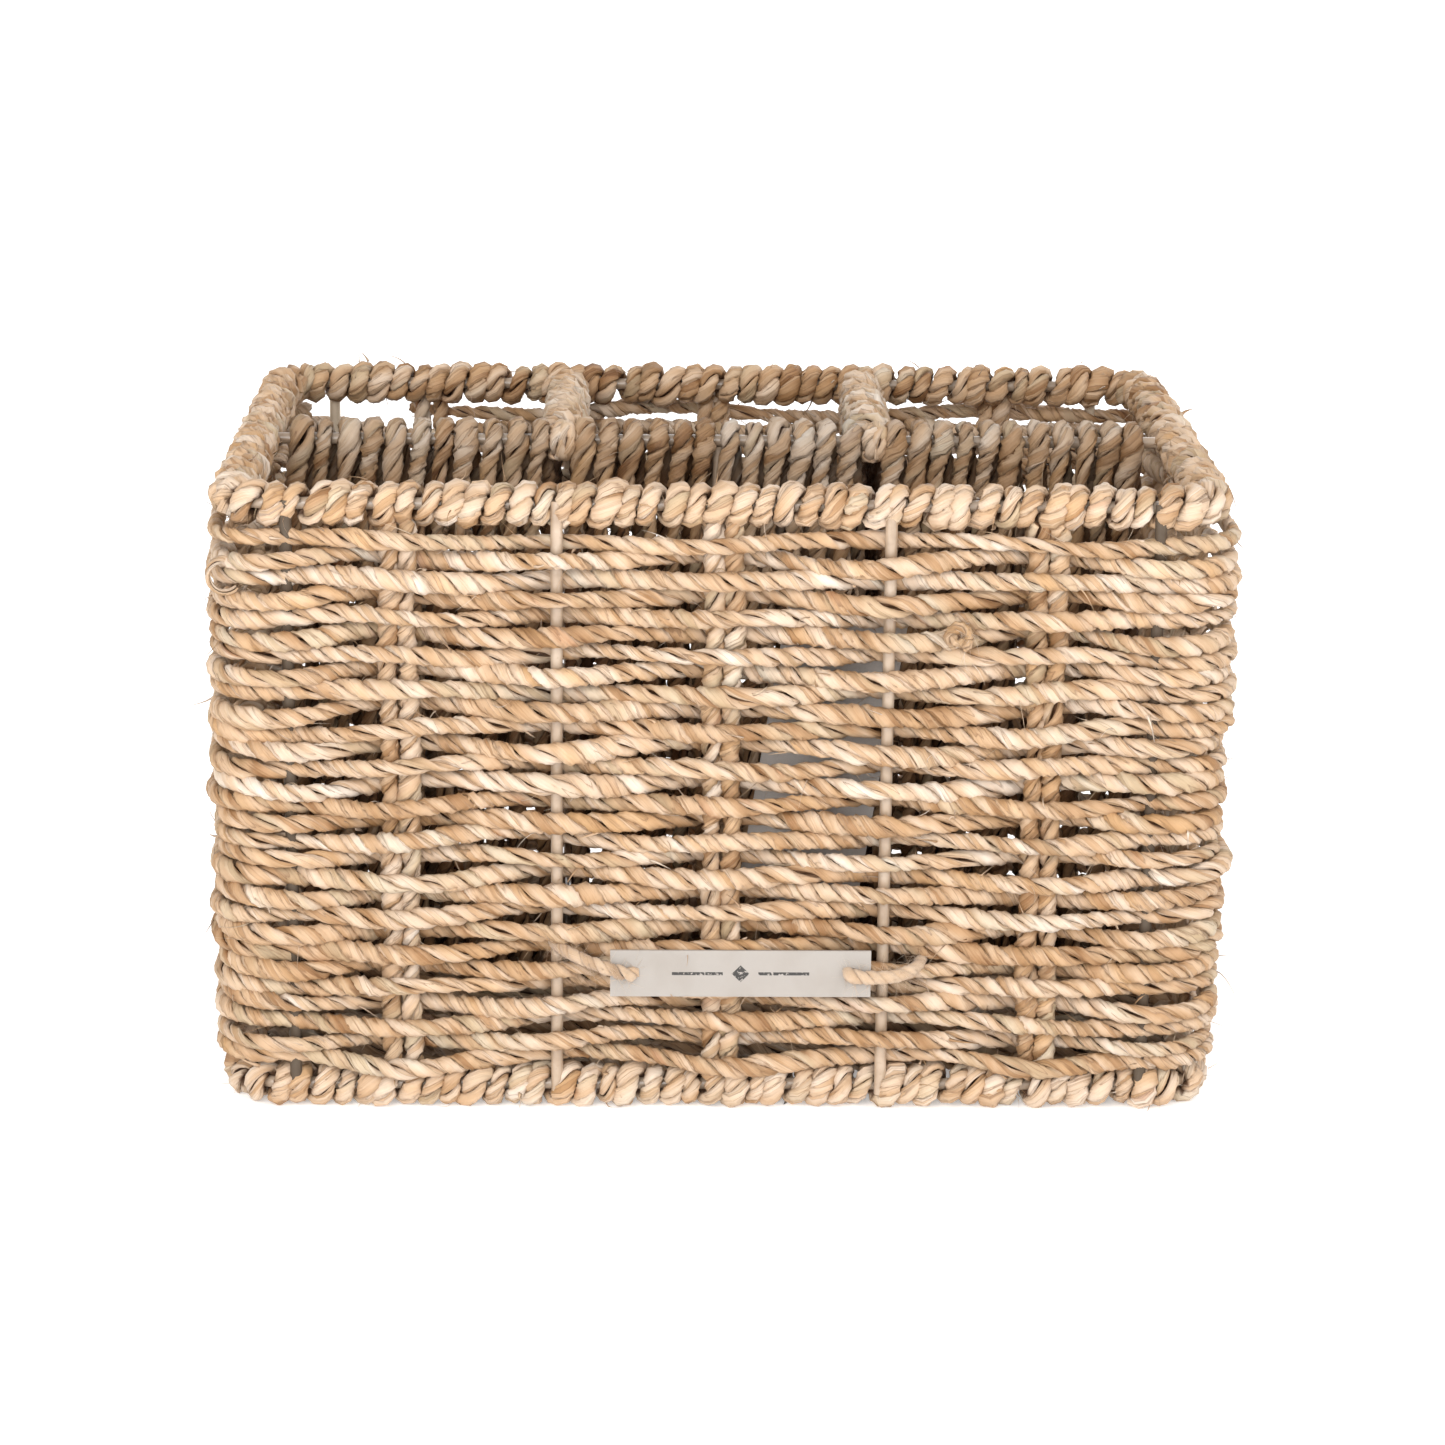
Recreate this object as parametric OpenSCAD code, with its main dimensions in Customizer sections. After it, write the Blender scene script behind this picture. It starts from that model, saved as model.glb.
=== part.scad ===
// Seagrass storage basket: a wire frame with rope wound and woven over it.
// One long compartment in front and three behind. Millimetres, +Z up, front towards -Y.
// The origin is on the table, under the middle of the frame.

/* [Basket] */
// Width over the rope wound round the rim
rim_w = 250; // [200:1:300]
// Depth over the rope wound round the rim
rim_d = 167; // [140:1:200]
// Height from the table to the top of the rim
basket_h = 160; // [120:1:200]

/* [Wire frame] */
// Diameter of the frame wire
wire_d = 3; // [2.4:0.1:3.4]
// Radius of the hoops' corners, to the middle of the wire
corner_r = 10; // [9:0.5:13]
// Distance of a corner post from the end of its wall's straight stretch
post_inset = 3.5; // [3.2:0.1:6]
// Distance of the front and back uprights from the middle of the wall
upright_x = 40.5; // [34:0.5:46]

/* [Rope] */
// Diameter over the rope wound round a wire
wrap_d = 11.4; // [10.4:0.2:13]
// How deep the foot winding is pressed flat where it stands
foot_flat = 0.3; // [0.1:0.1:0.6]
// Height of one woven course
course_h = 4.5; // [3.6:0.1:4.6]
// Thickness of one woven course, from inside to outside
course_t = 4.4; // [3.6:0.1:5]
// Height from one course to the next
course_pitch = 4.7; // [4.7:0.1:6]
// How far the courses stand out past the rim at the corners
corner_bulge = 1.2; // [0.5:0.1:2]
// Diameter of each of the two ropes of a rope stake
stake_rope_d = 4; // [3:0.1:4.6]
// Distance of the outer rope stakes from the middle of the front and back
stake_x = 79; // [70:0.5:88]
// Distance of the rope stakes from the middle of the left and right sides
stake_y = 38; // [30:0.5:46]

/* [Dividers] */
// How far the long divider stands behind the middle
divider_y = 0; // [-12:1:12]
// Distance of the cross dividers from the middle
cross_x = 40.5; // [34:0.5:46]
// Spacing of the turns on the long divider
turn_pitch = 6.3; // [5:0.1:8]
// Spacing of the turns on the cross dividers
cross_turn_pitch = 5.2; // [4.9:0.1:8]

/* [Floor] */
// Thickness of the woven floor mats
mat_t = 7; // [5:0.5:8]

/* [Label and card] */
// Width of the label strip
label_w = 64.5; // [50:0.5:80]
// Height of the label strip
label_h = 12; // [9:0.5:16]
// Thickness of the label strip
label_t = 0.7; // [0.4:0.1:1.2]
// How far the label's middle stands right of the basket's middle
label_x = 5; // [-20:1:20]
// Height of the label's middle above the table
label_z = 38; // [25:1:90]
// Diameter of the label's holes
label_hole_d = 3; // [2.8:0.1:3.6]
// Distance of each hole from its end of the label
label_hole_inset = 4.4; // [3:0.1:6]
// Diameter of the twine through the label's holes
twine_d = 2.4; // [1.6:0.1:2.6]
// Visible length of each twine tie
tie_run = 18; // [12:1:24]
// Width of the plain card behind the front weave
card_w = 30; // [20:1:40]
// Height of the card
card_h = 76; // [50:1:80]
// Thickness of the card
card_t = 0.6; // [0.4:0.1:1]
// How far the card leans to the right, in degrees
card_lean = 9; // [0:1:15]
// How far the card's middle stands right of the basket's middle
card_x = 25; // [10:1:30]
// Height of the card's middle above the table
card_z = 89; // [60:1:95]

/* [Hidden] */
$fn = 48;
steel = "#cbb797";
rope = "#d2ae7c";
shaded_rope = "#a98a66";
gap = 0.2;            // between rope and what it passes
fit = 0.1;            // between a winding and its wire
panel_gap = 0.3;      // between the floor mats, the windings and the walls

hoop_w = rim_w - wrap_d;
hoop_d = rim_d - wrap_d;
rim_z = basket_h - wrap_d / 2;
foot_z = wrap_d / 2 - foot_flat;
base_z = foot_z + wire_d;             // base wires lie on the foot hoop
upright_off = wire_d;                 // uprights touch the hoops' outer side
rope_off = upright_off / 2 + 0.5;     // rope stakes hang from the hoops' outer side
upright_h = rim_z - foot_z + wire_d;

long_half = hoop_w / 2 - corner_r;    // half of a wall's straight stretch
short_half = hoop_d / 2 - corner_r;
post_x = long_half - post_inset;

// a wall's stakes: [place along the wall, is it a wire]
long_stakes = [
    [-post_x, true], [-stake_x, false], [-upright_x, true], [0, false],
    [upright_x, true], [stake_x, false], [post_x, true]
];
short_stakes = [[-stake_y, false], [0, true], [stake_y, false]];

wire_swing = wire_d / 2 + gap + course_t / 2;        // a course's shift past a wire
rope_swing = stake_rope_d / 2 + gap + course_t / 2;  // and past a rope stake
wall_out = max(upright_off + wire_swing, rope_off + rope_swing) + course_t / 2;
wall_in = course_t / 2 - min(upright_off - wire_swing, rope_off - rope_swing);
wire_flat = wire_d;                   // half of a course's straight bit at a wire
rope_flat = stake_rope_d + 1;         // and at a pair of ropes
corner_out = wrap_d / 2 + corner_bulge;

first_z = foot_z + wrap_d / 2 + gap;                 // the weave's lowest and highest places
last_z = rim_z - wrap_d / 2 - gap;
course_count = floor((last_z - first_z - course_h) / course_pitch) + 1;
weave_z = (first_z + last_z - (course_count - 1) * course_pitch - course_h) / 2;

panel_r = foot_z - gap / 2;                          // half of a divider, just off the table
turn_rope_d = panel_r - wire_d / 2 - fit;            // the rope wound over the dividers
turn_r = panel_r - turn_rope_d / 2;                  // from a rail to its rope's middle
wrap_in = wrap_d / 2 + panel_gap;                    // clear of a hoop's winding
back_reach = hoop_d / 2 - max(wall_in, wrap_d / 2) - panel_gap;
label_y = -hoop_d / 2 - wall_out - gap;
card_y = -hoop_d / 2 + max(wall_in, wrap_d / 2) + panel_gap;

// ---- places ----

// children stand on the back wall's hoop line, facing out, then turn to their wall
module on_back() {
    translate([0, hoop_d / 2, 0]) children();
}
module on_front() {
    rotate([0, 0, 180]) translate([0, hoop_d / 2, 0]) children();
}
module on_left() {
    rotate([0, 0, 90]) translate([0, hoop_w / 2, 0]) children();
}
module on_right() {
    rotate([0, 0, -90]) translate([0, hoop_w / 2, 0]) children();
}
module at_corner(side, back) {
    angle = side > 0 ? (back > 0 ? 0 : -90) : (back > 0 ? 90 : 180);
    translate([side * long_half, back * short_half, 0]) rotate([0, 0, angle]) children();
}

// ---- wire ----

module bar_x(d, from, to) {
    translate([from, 0, 0]) rotate([0, 90, 0]) cylinder(d = d, h = to - from);
}
module bar_y(d, from, to) {
    translate([0, from, 0]) rotate([-90, 0, 0]) cylinder(d = d, h = to - from);
}
module bend(d) {
    rotate_extrude(angle = 90) translate([corner_r, 0]) circle(d = d);
}
module hoop(z) {
    translate([0, 0, z]) {
        for (side = [-1, 1]) {
            translate([0, side * hoop_d / 2, 0]) bar_x(wire_d, -long_half, long_half);
            translate([side * hoop_w / 2, 0, 0]) bar_y(wire_d, -short_half, short_half);
            for (back = [-1, 1]) at_corner(side, back) bend(wire_d);
        }
    }
}
module upright(x) {
    translate([x, upright_off, foot_z - wire_d / 2]) cylinder(d = wire_d, h = upright_h);
}
module rail(z) {
    reach = hoop_w / 2 - wire_d / 2;
    translate([0, divider_y, z]) bar_x(wire_d, -reach, reach);
}
module cross_rail(side) {
    from = divider_y + wire_d / 2;
    to = hoop_d / 2 - wire_d / 2;
    translate([side * cross_x, 0, rim_z]) bar_y(wire_d, from, to);
}
module base_wire(side) {
    translate([side * cross_x, 0, base_z]) bar_y(wire_d, -hoop_d / 2, hoop_d / 2);
}

// ---- rope wound round the hoops ----

slot_w = wire_d + 2 * fit;
slot_in = wire_d / 2 - fit;           // a slot starts beside the hoop's wire

// a straight winding along the wall, parted where the uprights stand against the hoop
module winding(half, uprights) {
    difference() {
        rotate([0, 90, 0]) cylinder(d = wrap_d, h = 2 * half, center = true);
        rotate([0, 90, 0]) cylinder(d = slot_w, h = 2 * half + 2, center = true);
        for (x = uprights)
            translate([x - slot_w / 2, slot_in, -wrap_d]) cube([slot_w, wrap_d, 2 * wrap_d]);
    }
}
// a hole through a winding's inner side, where a rail meets the hoop
module rail_hole(x) {
    translate([x, -wire_d / 2, 0]) rotate([90, 0, 0]) cylinder(d = slot_w, h = wrap_d);
}
module rim_winding(half, uprights, rails) {
    translate([0, 0, rim_z]) difference() {
        winding(half, uprights);
        for (x = rails) rail_hole(x);
    }
}
// a foot winding is pressed flat on the table, and opens at the top for base wires
module foot_winding(half, uprights, rails, base_wires) {
    difference() {
        translate([0, 0, foot_z]) winding(half, uprights);
        translate([-half - 1, -wrap_d, -wrap_d]) cube([2 * half + 2, 2 * wrap_d, wrap_d]);
        translate([0, 0, foot_z]) {
            for (x = rails) rail_hole(x);
            for (x = base_wires)
                translate([x - slot_w / 2, -wrap_d, slot_in]) cube([slot_w, 2 * wrap_d, wrap_d]);
        }
    }
}
module corner_winding() {
    difference() {
        bend(wrap_d);
        bend(slot_w);
    }
}
module corner_windings(z) {
    for (side = [-1, 1], back = [-1, 1])
        at_corner(side, back) intersection() {
            translate([0, 0, z]) corner_winding();
            translate([-1, -1, 0]) cube([hoop_w, hoop_d, 2 * basket_h]);
        }
}

long_uprights = [for (s = long_stakes) if (s[1]) s[0]];
short_uprights = [0];

// ---- woven walls ----

// two ropes side by side from the foot winding up to the rim winding
module rope_stake(x) {
    h = last_z - first_z;
    for (side = [-1, 1])
        translate([x + side * (stake_rope_d + gap) / 2, rope_off, first_z])
            cylinder(d = stake_rope_d, h = h);
}

// how far out a course's middle runs at a stake: out = 1 passes wires on the outside
function run(s, out) = s[1] ? upright_off + out * wire_swing : rope_off - out * rope_swing;
function flat(s) = s[1] ? wire_flat : rope_flat;
function course_path(stakes, out) =
    [for (s = stakes, e = [-1, 1]) [s[0] + e * flat(s), run(s, out)]];

module course(path) {
    n = len(path);
    outer = [for (p = path) p + [0, course_t / 2]];
    inner = [for (i = [n - 1:-1:0]) path[i] - [0, course_t / 2]];
    linear_extrude(course_h) polygon(concat(outer, inner));
}
// the highest course passes the wires on the inside, and they take turns below it
module courses(stakes, ends) {
    for (k = [0:course_count - 1]) {
        out = (course_count - 1 - k) % 2 == 0 ? -1 : 1;
        path = course_path(stakes, out);
        translate([0, 0, weave_z + k * course_pitch])
            course(len(ends) == 0 ? path : concat([ends[0]], path, [ends[1]]));
    }
}
corner_mid = corner_out - course_t / 2;
short_ends = [[-short_half, corner_mid], [short_half, corner_mid]];

// the same courses where they go round a corner, packed on each other
module corner_courses(side, back) {
    inner = corner_r + corner_out - course_t;
    outer = corner_r + corner_out;
    edge = 0.8;                       // roundness of each course's outer side
    top = weave_z + (course_count - 1) * course_pitch + course_h;
    beads = [
        for (k = [0:course_count - 1], p = [[-edge, 0], [0, 0.25], [0, 0.75], [-edge, 1]])
            [outer + p[0], weave_z + k * course_pitch + p[1] * course_h]
    ];
    at_corner(side, back) rotate_extrude(angle = 90)
        polygon(concat([[inner, top], [inner, weave_z]], beads));
}

// ---- dividers ----

// one turn of rope over a rail and under a foot rail, in the XZ plane
module turn(low_z, high_z) {
    for (side = [-1, 1])
        translate([side * turn_r, 0, low_z]) cylinder(d = turn_rope_d, h = high_z - low_z);
    translate([0, 0, high_z]) half_turn();
    translate([0, 0, low_z]) mirror([0, 0, 1]) half_turn();
}
module half_turn() {
    rotate([90, 0, 0]) rotate_extrude(angle = 180) translate([turn_r, 0]) circle(d = turn_rope_d);
}
// places of as many turns as fit between two ends, spread so that the first and last reach them
function turn_places(from, to, pitch) =
    let (room = to - from - turn_rope_d, n = floor(room / pitch))
        [for (i = [0:n]) from + turn_rope_d / 2 + i * room / n];

panel_edge = hoop_w / 2 - max(wall_in, wrap_d / 2) - panel_gap;
joint_gap = wire_d / 2 + gap;         // beside a cross rail or a base wire
divider_places = concat(
    turn_places(-panel_edge, -cross_x - joint_gap, turn_pitch),
    turn_places(-cross_x + joint_gap, -joint_gap, turn_pitch),
    turn_places(joint_gap, cross_x - joint_gap, turn_pitch),
    turn_places(cross_x + joint_gap, panel_edge, turn_pitch)
);
cross_places = turn_places(divider_y + panel_r + panel_gap, back_reach, cross_turn_pitch);

module cross_turns(side) {
    for (y = cross_places) translate([side * cross_x, y, 0]) turn(base_z, rim_z);
}

// ---- floor ----

mat_low = base_z - mat_t / 2;
mat_x = hoop_w / 2 - wrap_in;         // the mats' outer edges and corners
mat_y = hoop_d / 2 - wrap_in;
mat_r = corner_r - wrap_in;

module floor_shape() {
    inset_x = mat_x - mat_r;
    inset_y = mat_y - mat_r;
    translate([-mat_x, -inset_y, mat_low]) cube([2 * mat_x, 2 * inset_y, mat_t]);
    translate([-inset_x, -mat_y, mat_low]) cube([2 * inset_x, 2 * mat_y, mat_t]);
    for (x = [-inset_x, inset_x], y = [-inset_y, inset_y])
        translate([x, y, mat_low]) cylinder(r = mat_r, h = mat_t);
}
module mat(x0, x1, y0, y1) {
    intersection() {
        floor_shape();
        translate([x0, y0, mat_low]) cube([x1 - x0, y1 - y0, mat_t]);
    }
}

// ---- label and card ----

module label_tie(side) {
    reach = label_w / 2 - label_hole_inset;
    lie = label_y - label_t - twine_d / 2;
    translate([label_x + side * reach, 0, label_z]) mirror([side < 0 ? 1 : 0, 0, 0]) {
        translate([0, lie, 0]) bar_x(twine_d, 0, tie_run);
        for (x = [0, tie_run]) translate([x, lie, 0]) {
            sphere(d = twine_d);
            bar_y(twine_d, 0, label_y - lie);
        }
    }
}

// ---- sub-parts: wire ----

module top_hoop() {
    color(steel) hoop(rim_z);
}
module foot_hoop() {
    color(steel) hoop(foot_z);
}
module divider_rail() {
    color(steel) rail(rim_z);
}
module divider_foot_rail() {
    color(steel) rail(foot_z);
}
module divider_upright() {
    low = foot_z + wire_d / 2;
    color(steel) translate([0, divider_y, low])
        cylinder(d = wire_d, h = rim_z - wire_d / 2 - low);
}
module cross_rail_left() {
    color(steel) cross_rail(-1);
}
module cross_rail_right() {
    color(steel) cross_rail(1);
}
module base_wire_left() {
    color(steel) base_wire(-1);
}
module base_wire_right() {
    color(steel) base_wire(1);
}
module post_front_left() {
    color(steel) on_front() upright(post_x);
}
module post_front_right() {
    color(steel) on_front() upright(-post_x);
}
module post_back_left() {
    color(steel) on_back() upright(-post_x);
}
module post_back_right() {
    color(steel) on_back() upright(post_x);
}
module front_upright_left() {
    color(steel) on_front() upright(upright_x);
}
module front_upright_right() {
    color(steel) on_front() upright(-upright_x);
}
module back_upright_left() {
    color(steel) on_back() upright(-upright_x);
}
module back_upright_right() {
    color(steel) on_back() upright(upright_x);
}
module side_upright_left() {
    color(steel) on_left() upright(0);
}
module side_upright_right() {
    color(steel) on_right() upright(0);
}

// ---- sub-parts: rope wound round the hoops ----

module rim_wrap_front() {
    color(rope) on_front() rim_winding(long_half, long_uprights, []);
}
module rim_wrap_back() {
    color(rope) on_back() rim_winding(long_half, long_uprights, [-cross_x, cross_x]);
}
module rim_wrap_left() {
    color(rope) on_left() rim_winding(short_half, short_uprights, [divider_y]);
}
module rim_wrap_right() {
    color(rope) on_right() rim_winding(short_half, short_uprights, [-divider_y]);
}
module rim_wrap_corners() {
    color(rope) corner_windings(rim_z);
}
module foot_wrap_front() {
    color(rope) on_front() foot_winding(long_half, long_uprights, [], [-cross_x, cross_x]);
}
module foot_wrap_back() {
    color(rope) on_back() foot_winding(long_half, long_uprights, [], [-cross_x, cross_x]);
}
module foot_wrap_left() {
    color(rope) on_left() foot_winding(short_half, short_uprights, [divider_y], []);
}
module foot_wrap_right() {
    color(rope) on_right() foot_winding(short_half, short_uprights, [-divider_y], []);
}
module foot_wrap_corners() {
    color(rope) corner_windings(foot_z);
}

// ---- sub-parts: woven walls ----

module front_stake_left() {
    color(rope) on_front() rope_stake(stake_x);
}
module front_stake_middle() {
    color(rope) on_front() rope_stake(0);
}
module front_stake_right() {
    color(rope) on_front() rope_stake(-stake_x);
}
module back_stake_left() {
    color(shaded_rope) on_back() rope_stake(-stake_x);
}
module back_stake_middle() {
    color(shaded_rope) on_back() rope_stake(0);
}
module back_stake_right() {
    color(shaded_rope) on_back() rope_stake(stake_x);
}
module left_stake_front() {
    color(rope) on_left() rope_stake(-stake_y);
}
module left_stake_back() {
    color(rope) on_left() rope_stake(stake_y);
}
module right_stake_front() {
    color(rope) on_right() rope_stake(stake_y);
}
module right_stake_back() {
    color(rope) on_right() rope_stake(-stake_y);
}
module front_courses() {
    color(rope) on_front() courses(long_stakes, []);
}
module back_courses() {
    color(shaded_rope) on_back() courses(long_stakes, []);
}
module left_courses() {
    color(rope) on_left() courses(short_stakes, short_ends);
}
module right_courses() {
    color(rope) on_right() courses(short_stakes, short_ends);
}
module corner_courses_front_left() {
    color(rope) corner_courses(-1, -1);
}
module corner_courses_front_right() {
    color(rope) corner_courses(1, -1);
}
module corner_courses_back_left() {
    color(shaded_rope) corner_courses(-1, 1);
}
module corner_courses_back_right() {
    color(shaded_rope) corner_courses(1, 1);
}

// ---- sub-parts: dividers and floor ----

module divider_turns() {
    color(shaded_rope) for (x = divider_places)
        translate([x, divider_y, 0]) rotate([0, 0, 90]) turn(foot_z, rim_z);
}
module cross_turns_left() {
    color(shaded_rope) cross_turns(-1);
}
module cross_turns_right() {
    color(shaded_rope) cross_turns(1);
}
mat_back = divider_y + panel_r + panel_gap;   // the mats' edges at the dividers
mat_front = divider_y - panel_r - panel_gap;
mat_cross = panel_r + panel_gap;

module floor_mat_front() {
    color(shaded_rope) difference() {
        mat(-mat_x, mat_x, -mat_y, mat_front);
        for (side = [-1, 1]) translate([side * cross_x, 0, base_z]) bar_y(slot_w, -hoop_d, hoop_d);
    }
}
module floor_mat_left() {
    color(shaded_rope) mat(-mat_x, -cross_x - mat_cross, mat_back, mat_y);
}
module floor_mat_middle() {
    color(shaded_rope) mat(-cross_x + mat_cross, cross_x - mat_cross, mat_back, mat_y);
}
module floor_mat_right() {
    color(shaded_rope) mat(cross_x + mat_cross, mat_x, mat_back, mat_y);
}

// ---- sub-parts: label and card ----

module label_strip() {
    color("ivory") translate([label_x, label_y, label_z]) difference() {
        translate([-label_w / 2, -label_t, -label_h / 2]) cube([label_w, label_t, label_h]);
        for (side = [-1, 1])
            translate([side * (label_w / 2 - label_hole_inset), 0, 0])
                rotate([90, 0, 0]) cylinder(d = label_hole_d, h = 4 * label_t, center = true);
    }
}
module label_tie_left() {
    color("tan") label_tie(-1);
}
module label_tie_right() {
    color("tan") label_tie(1);
}
module tag_card() {
    color("lightgray") translate([card_x, card_y, card_z]) rotate([0, card_lean, 0])
        translate([-card_w / 2, 0, -card_h / 2]) cube([card_w, card_t, card_h]);
}

top_hoop();
foot_hoop();
divider_rail();
divider_foot_rail();
divider_upright();
cross_rail_left();
cross_rail_right();
base_wire_left();
base_wire_right();
post_front_left();
post_front_right();
post_back_left();
post_back_right();
front_upright_left();
front_upright_right();
back_upright_left();
back_upright_right();
side_upright_left();
side_upright_right();
rim_wrap_front();
rim_wrap_back();
rim_wrap_left();
rim_wrap_right();
rim_wrap_corners();
foot_wrap_front();
foot_wrap_back();
foot_wrap_left();
foot_wrap_right();
foot_wrap_corners();
front_stake_left();
front_stake_middle();
front_stake_right();
back_stake_left();
back_stake_middle();
back_stake_right();
left_stake_front();
left_stake_back();
right_stake_front();
right_stake_back();
front_courses();
back_courses();
left_courses();
right_courses();
corner_courses_front_left();
corner_courses_front_right();
corner_courses_back_left();
corner_courses_back_right();
divider_turns();
cross_turns_left();
cross_turns_right();
floor_mat_front();
floor_mat_left();
floor_mat_middle();
floor_mat_right();
label_strip();
label_tie_left();
label_tie_right();
tag_card();
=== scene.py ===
import math

import bpy
import numpy as np
from mathutils import Matrix, Vector


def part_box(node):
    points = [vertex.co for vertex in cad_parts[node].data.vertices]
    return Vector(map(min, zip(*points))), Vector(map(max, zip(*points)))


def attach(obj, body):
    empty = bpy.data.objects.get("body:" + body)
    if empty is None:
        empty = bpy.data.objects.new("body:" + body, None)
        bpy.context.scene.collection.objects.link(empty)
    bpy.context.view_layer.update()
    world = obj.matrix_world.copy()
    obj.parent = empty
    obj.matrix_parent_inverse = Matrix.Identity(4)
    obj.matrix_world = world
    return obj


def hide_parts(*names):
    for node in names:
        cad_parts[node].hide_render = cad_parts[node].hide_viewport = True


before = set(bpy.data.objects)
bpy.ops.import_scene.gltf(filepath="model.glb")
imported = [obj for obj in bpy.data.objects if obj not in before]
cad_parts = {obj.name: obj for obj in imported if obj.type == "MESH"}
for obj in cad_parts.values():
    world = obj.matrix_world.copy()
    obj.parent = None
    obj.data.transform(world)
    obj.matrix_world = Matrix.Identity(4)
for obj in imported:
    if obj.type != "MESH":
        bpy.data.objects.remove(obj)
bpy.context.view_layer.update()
mm = 0.001


# sizes read from the frame
def span(node):
    # the low and the high corner of a node's box
    low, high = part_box(node)
    return np.array(low), np.array(high)


def middle(node):
    # halfway between the corners of a node's box
    low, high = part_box(node)
    return [(a + b) / 2 for a, b in zip(low, high)]


hoopLow, hoopHigh = span("top_hoop")
footLow = span("foot_hoop")[0]
wrapLow, wrapHigh = span("rim_wrap_front")
wireR = (hoopHigh[2] - hoopLow[2]) / 2
halfW = hoopHigh[0] - wireR  # hoop's middle line, half of its width and depth
halfD = hoopHigh[1] - wireR
rimZ = hoopLow[2] + wireR
footZ = footLow[2] + wireR
longHalf = wrapHigh[0]  # half of each wall's straight stretch
cornerR = halfW - longHalf
shortHalf = halfD - cornerR
wrapR = (wrapHigh[2] - wrapLow[2]) / 2


view = {
    "azimuth": -1.24,  # degrees, 0 looks along +Y
    "elevation": 15.59,
    "roll": 0.58,
    "distance": 1.0668,
    "target": (0.0018, 0.0, 0.0780),
    "lens": 100.03,
    "sensor": 36.0,
    "clipStart": 0.02,
}


def makeCamera():
    # the camera looks back along the unit vector of its azimuth and elevation, then rolls
    a, e, r = (math.radians(view[k]) for k in ("azimuth", "elevation", "roll"))
    back = Vector((math.sin(a) * math.cos(e), -math.cos(a) * math.cos(e), math.sin(e)))
    right = Vector((0, 0, 1)).cross(back).normalized()
    up = back.cross(right)
    right, up = right * math.cos(r) + up * math.sin(r), up * math.cos(r) - right * math.sin(r)
    data = bpy.data.cameras.new("camera")
    data.lens = view["lens"]
    data.sensor_width = view["sensor"]
    data.clip_start = view["clipStart"]
    camera = bpy.data.objects.new("camera", data)
    turn = Matrix((right, up, back)).transposed()
    place = Vector(view["target"]) + back * view["distance"]
    camera.matrix_world = Matrix.Translation(place) @ turn.to_4x4()
    bpy.context.collection.objects.link(camera)
    bpy.context.scene.camera = camera


studio = {
    "worldStrength": 1.0,
    "lampAim": (0, 0, 0.08),
    "lamps": {  # place, size, power
        "keyLamp": ((-0.30, -0.95, 0.45), 0.75, 8.4),
        "fillLamp": ((0.75, -0.80, 0.40), 0.75, 4.4),
        "backLamp": ((0.30, 0.95, 0.55), 0.80, 3.0),
    },
    "groundReach": 6.0,
    "groundColour": (0.93, 0.93, 0.93, 1),
    "groundRoughness": 0.9,
    "groundGlow": 0.30,
}


def addLamp(name, place, size, power):
    # a square soft light at its place, turned to face the basket
    data = bpy.data.lights.new(name, "AREA")
    data.size = size
    data.energy = power
    lamp = bpy.data.objects.new(name, data)
    aim = Vector(studio["lampAim"]) - Vector(place)
    lamp.matrix_world = Matrix.Translation(place) @ aim.to_track_quat("-Z", "Y").to_matrix().to_4x4()
    bpy.context.collection.objects.link(lamp)


def makeStudio():
    # even white surroundings and the soft lamps
    world = bpy.data.worlds.new("studio")
    world.use_nodes = True
    sky = world.node_tree.nodes["Background"]
    sky.inputs["Color"].default_value = (1, 1, 1, 1)
    sky.inputs["Strength"].default_value = studio["worldStrength"]
    bpy.context.scene.world = world
    bpy.context.scene.view_settings.view_transform = "Standard"
    for name, (place, size, power) in studio["lamps"].items():
        addLamp(name, place, size, power)


def makeGround():
    # one large flat square of pale paper, faintly lit from within
    mesh = bpy.data.meshes.new("floor")
    reach = studio["groundReach"]
    corners = [(-reach, -reach, 0), (reach, -reach, 0), (reach, reach, 0), (-reach, reach, 0)]
    mesh.from_pydata(corners, [], [(0, 1, 2, 3)])
    floor = bpy.data.objects.new("floor", mesh)
    bpy.context.collection.objects.link(floor)
    paper = bpy.data.materials.new("floorPaper")
    paper.use_nodes = True
    shader = paper.node_tree.nodes["Principled BSDF"]
    shader.inputs["Base Color"].default_value = studio["groundColour"]
    shader.inputs["Roughness"].default_value = studio["groundRoughness"]
    shader.inputs["Emission Color"].default_value = (1, 1, 1, 1)
    shader.inputs["Emission Strength"].default_value = studio["groundGlow"]
    mesh.materials.append(paper)


makeCamera()
makeStudio()
makeGround()
print("stage: camera and studio")


def newMaterial(name):
    # the material, its nodes and its shader
    material = bpy.data.materials.new(name)
    material.use_nodes = True
    return material, material.node_tree, material.node_tree.nodes["Principled BSDF"]


def addNode(tree, kind, **inputs):
    # a node with its sockets set; an underscore stands for a space
    node = tree.nodes.new(kind)
    for key, value in inputs.items():
        node.inputs[key.replace("_", " ")].default_value = value
    return node


def ramp(tree, factor, stops):
    # colours along a scale, each at its own place from 0 to 1
    node = tree.nodes.new("ShaderNodeValToRGB")
    marks = node.color_ramp.elements
    while len(marks) < len(stops):
        marks.new(0.5)
    for mark, (place, colour) in zip(marks, stops):
        mark.position = place
        mark.color = (*colour, 1)
    tree.links.new(factor, node.inputs["Fac"])
    return node.outputs["Color"]


def mask(tree, factor, off, on):
    # nothing at off and whole at on, whichever of them is the higher
    return ramp(tree, factor, sorted(((off, (0, 0, 0)), (on, (1, 1, 1)))))


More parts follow.
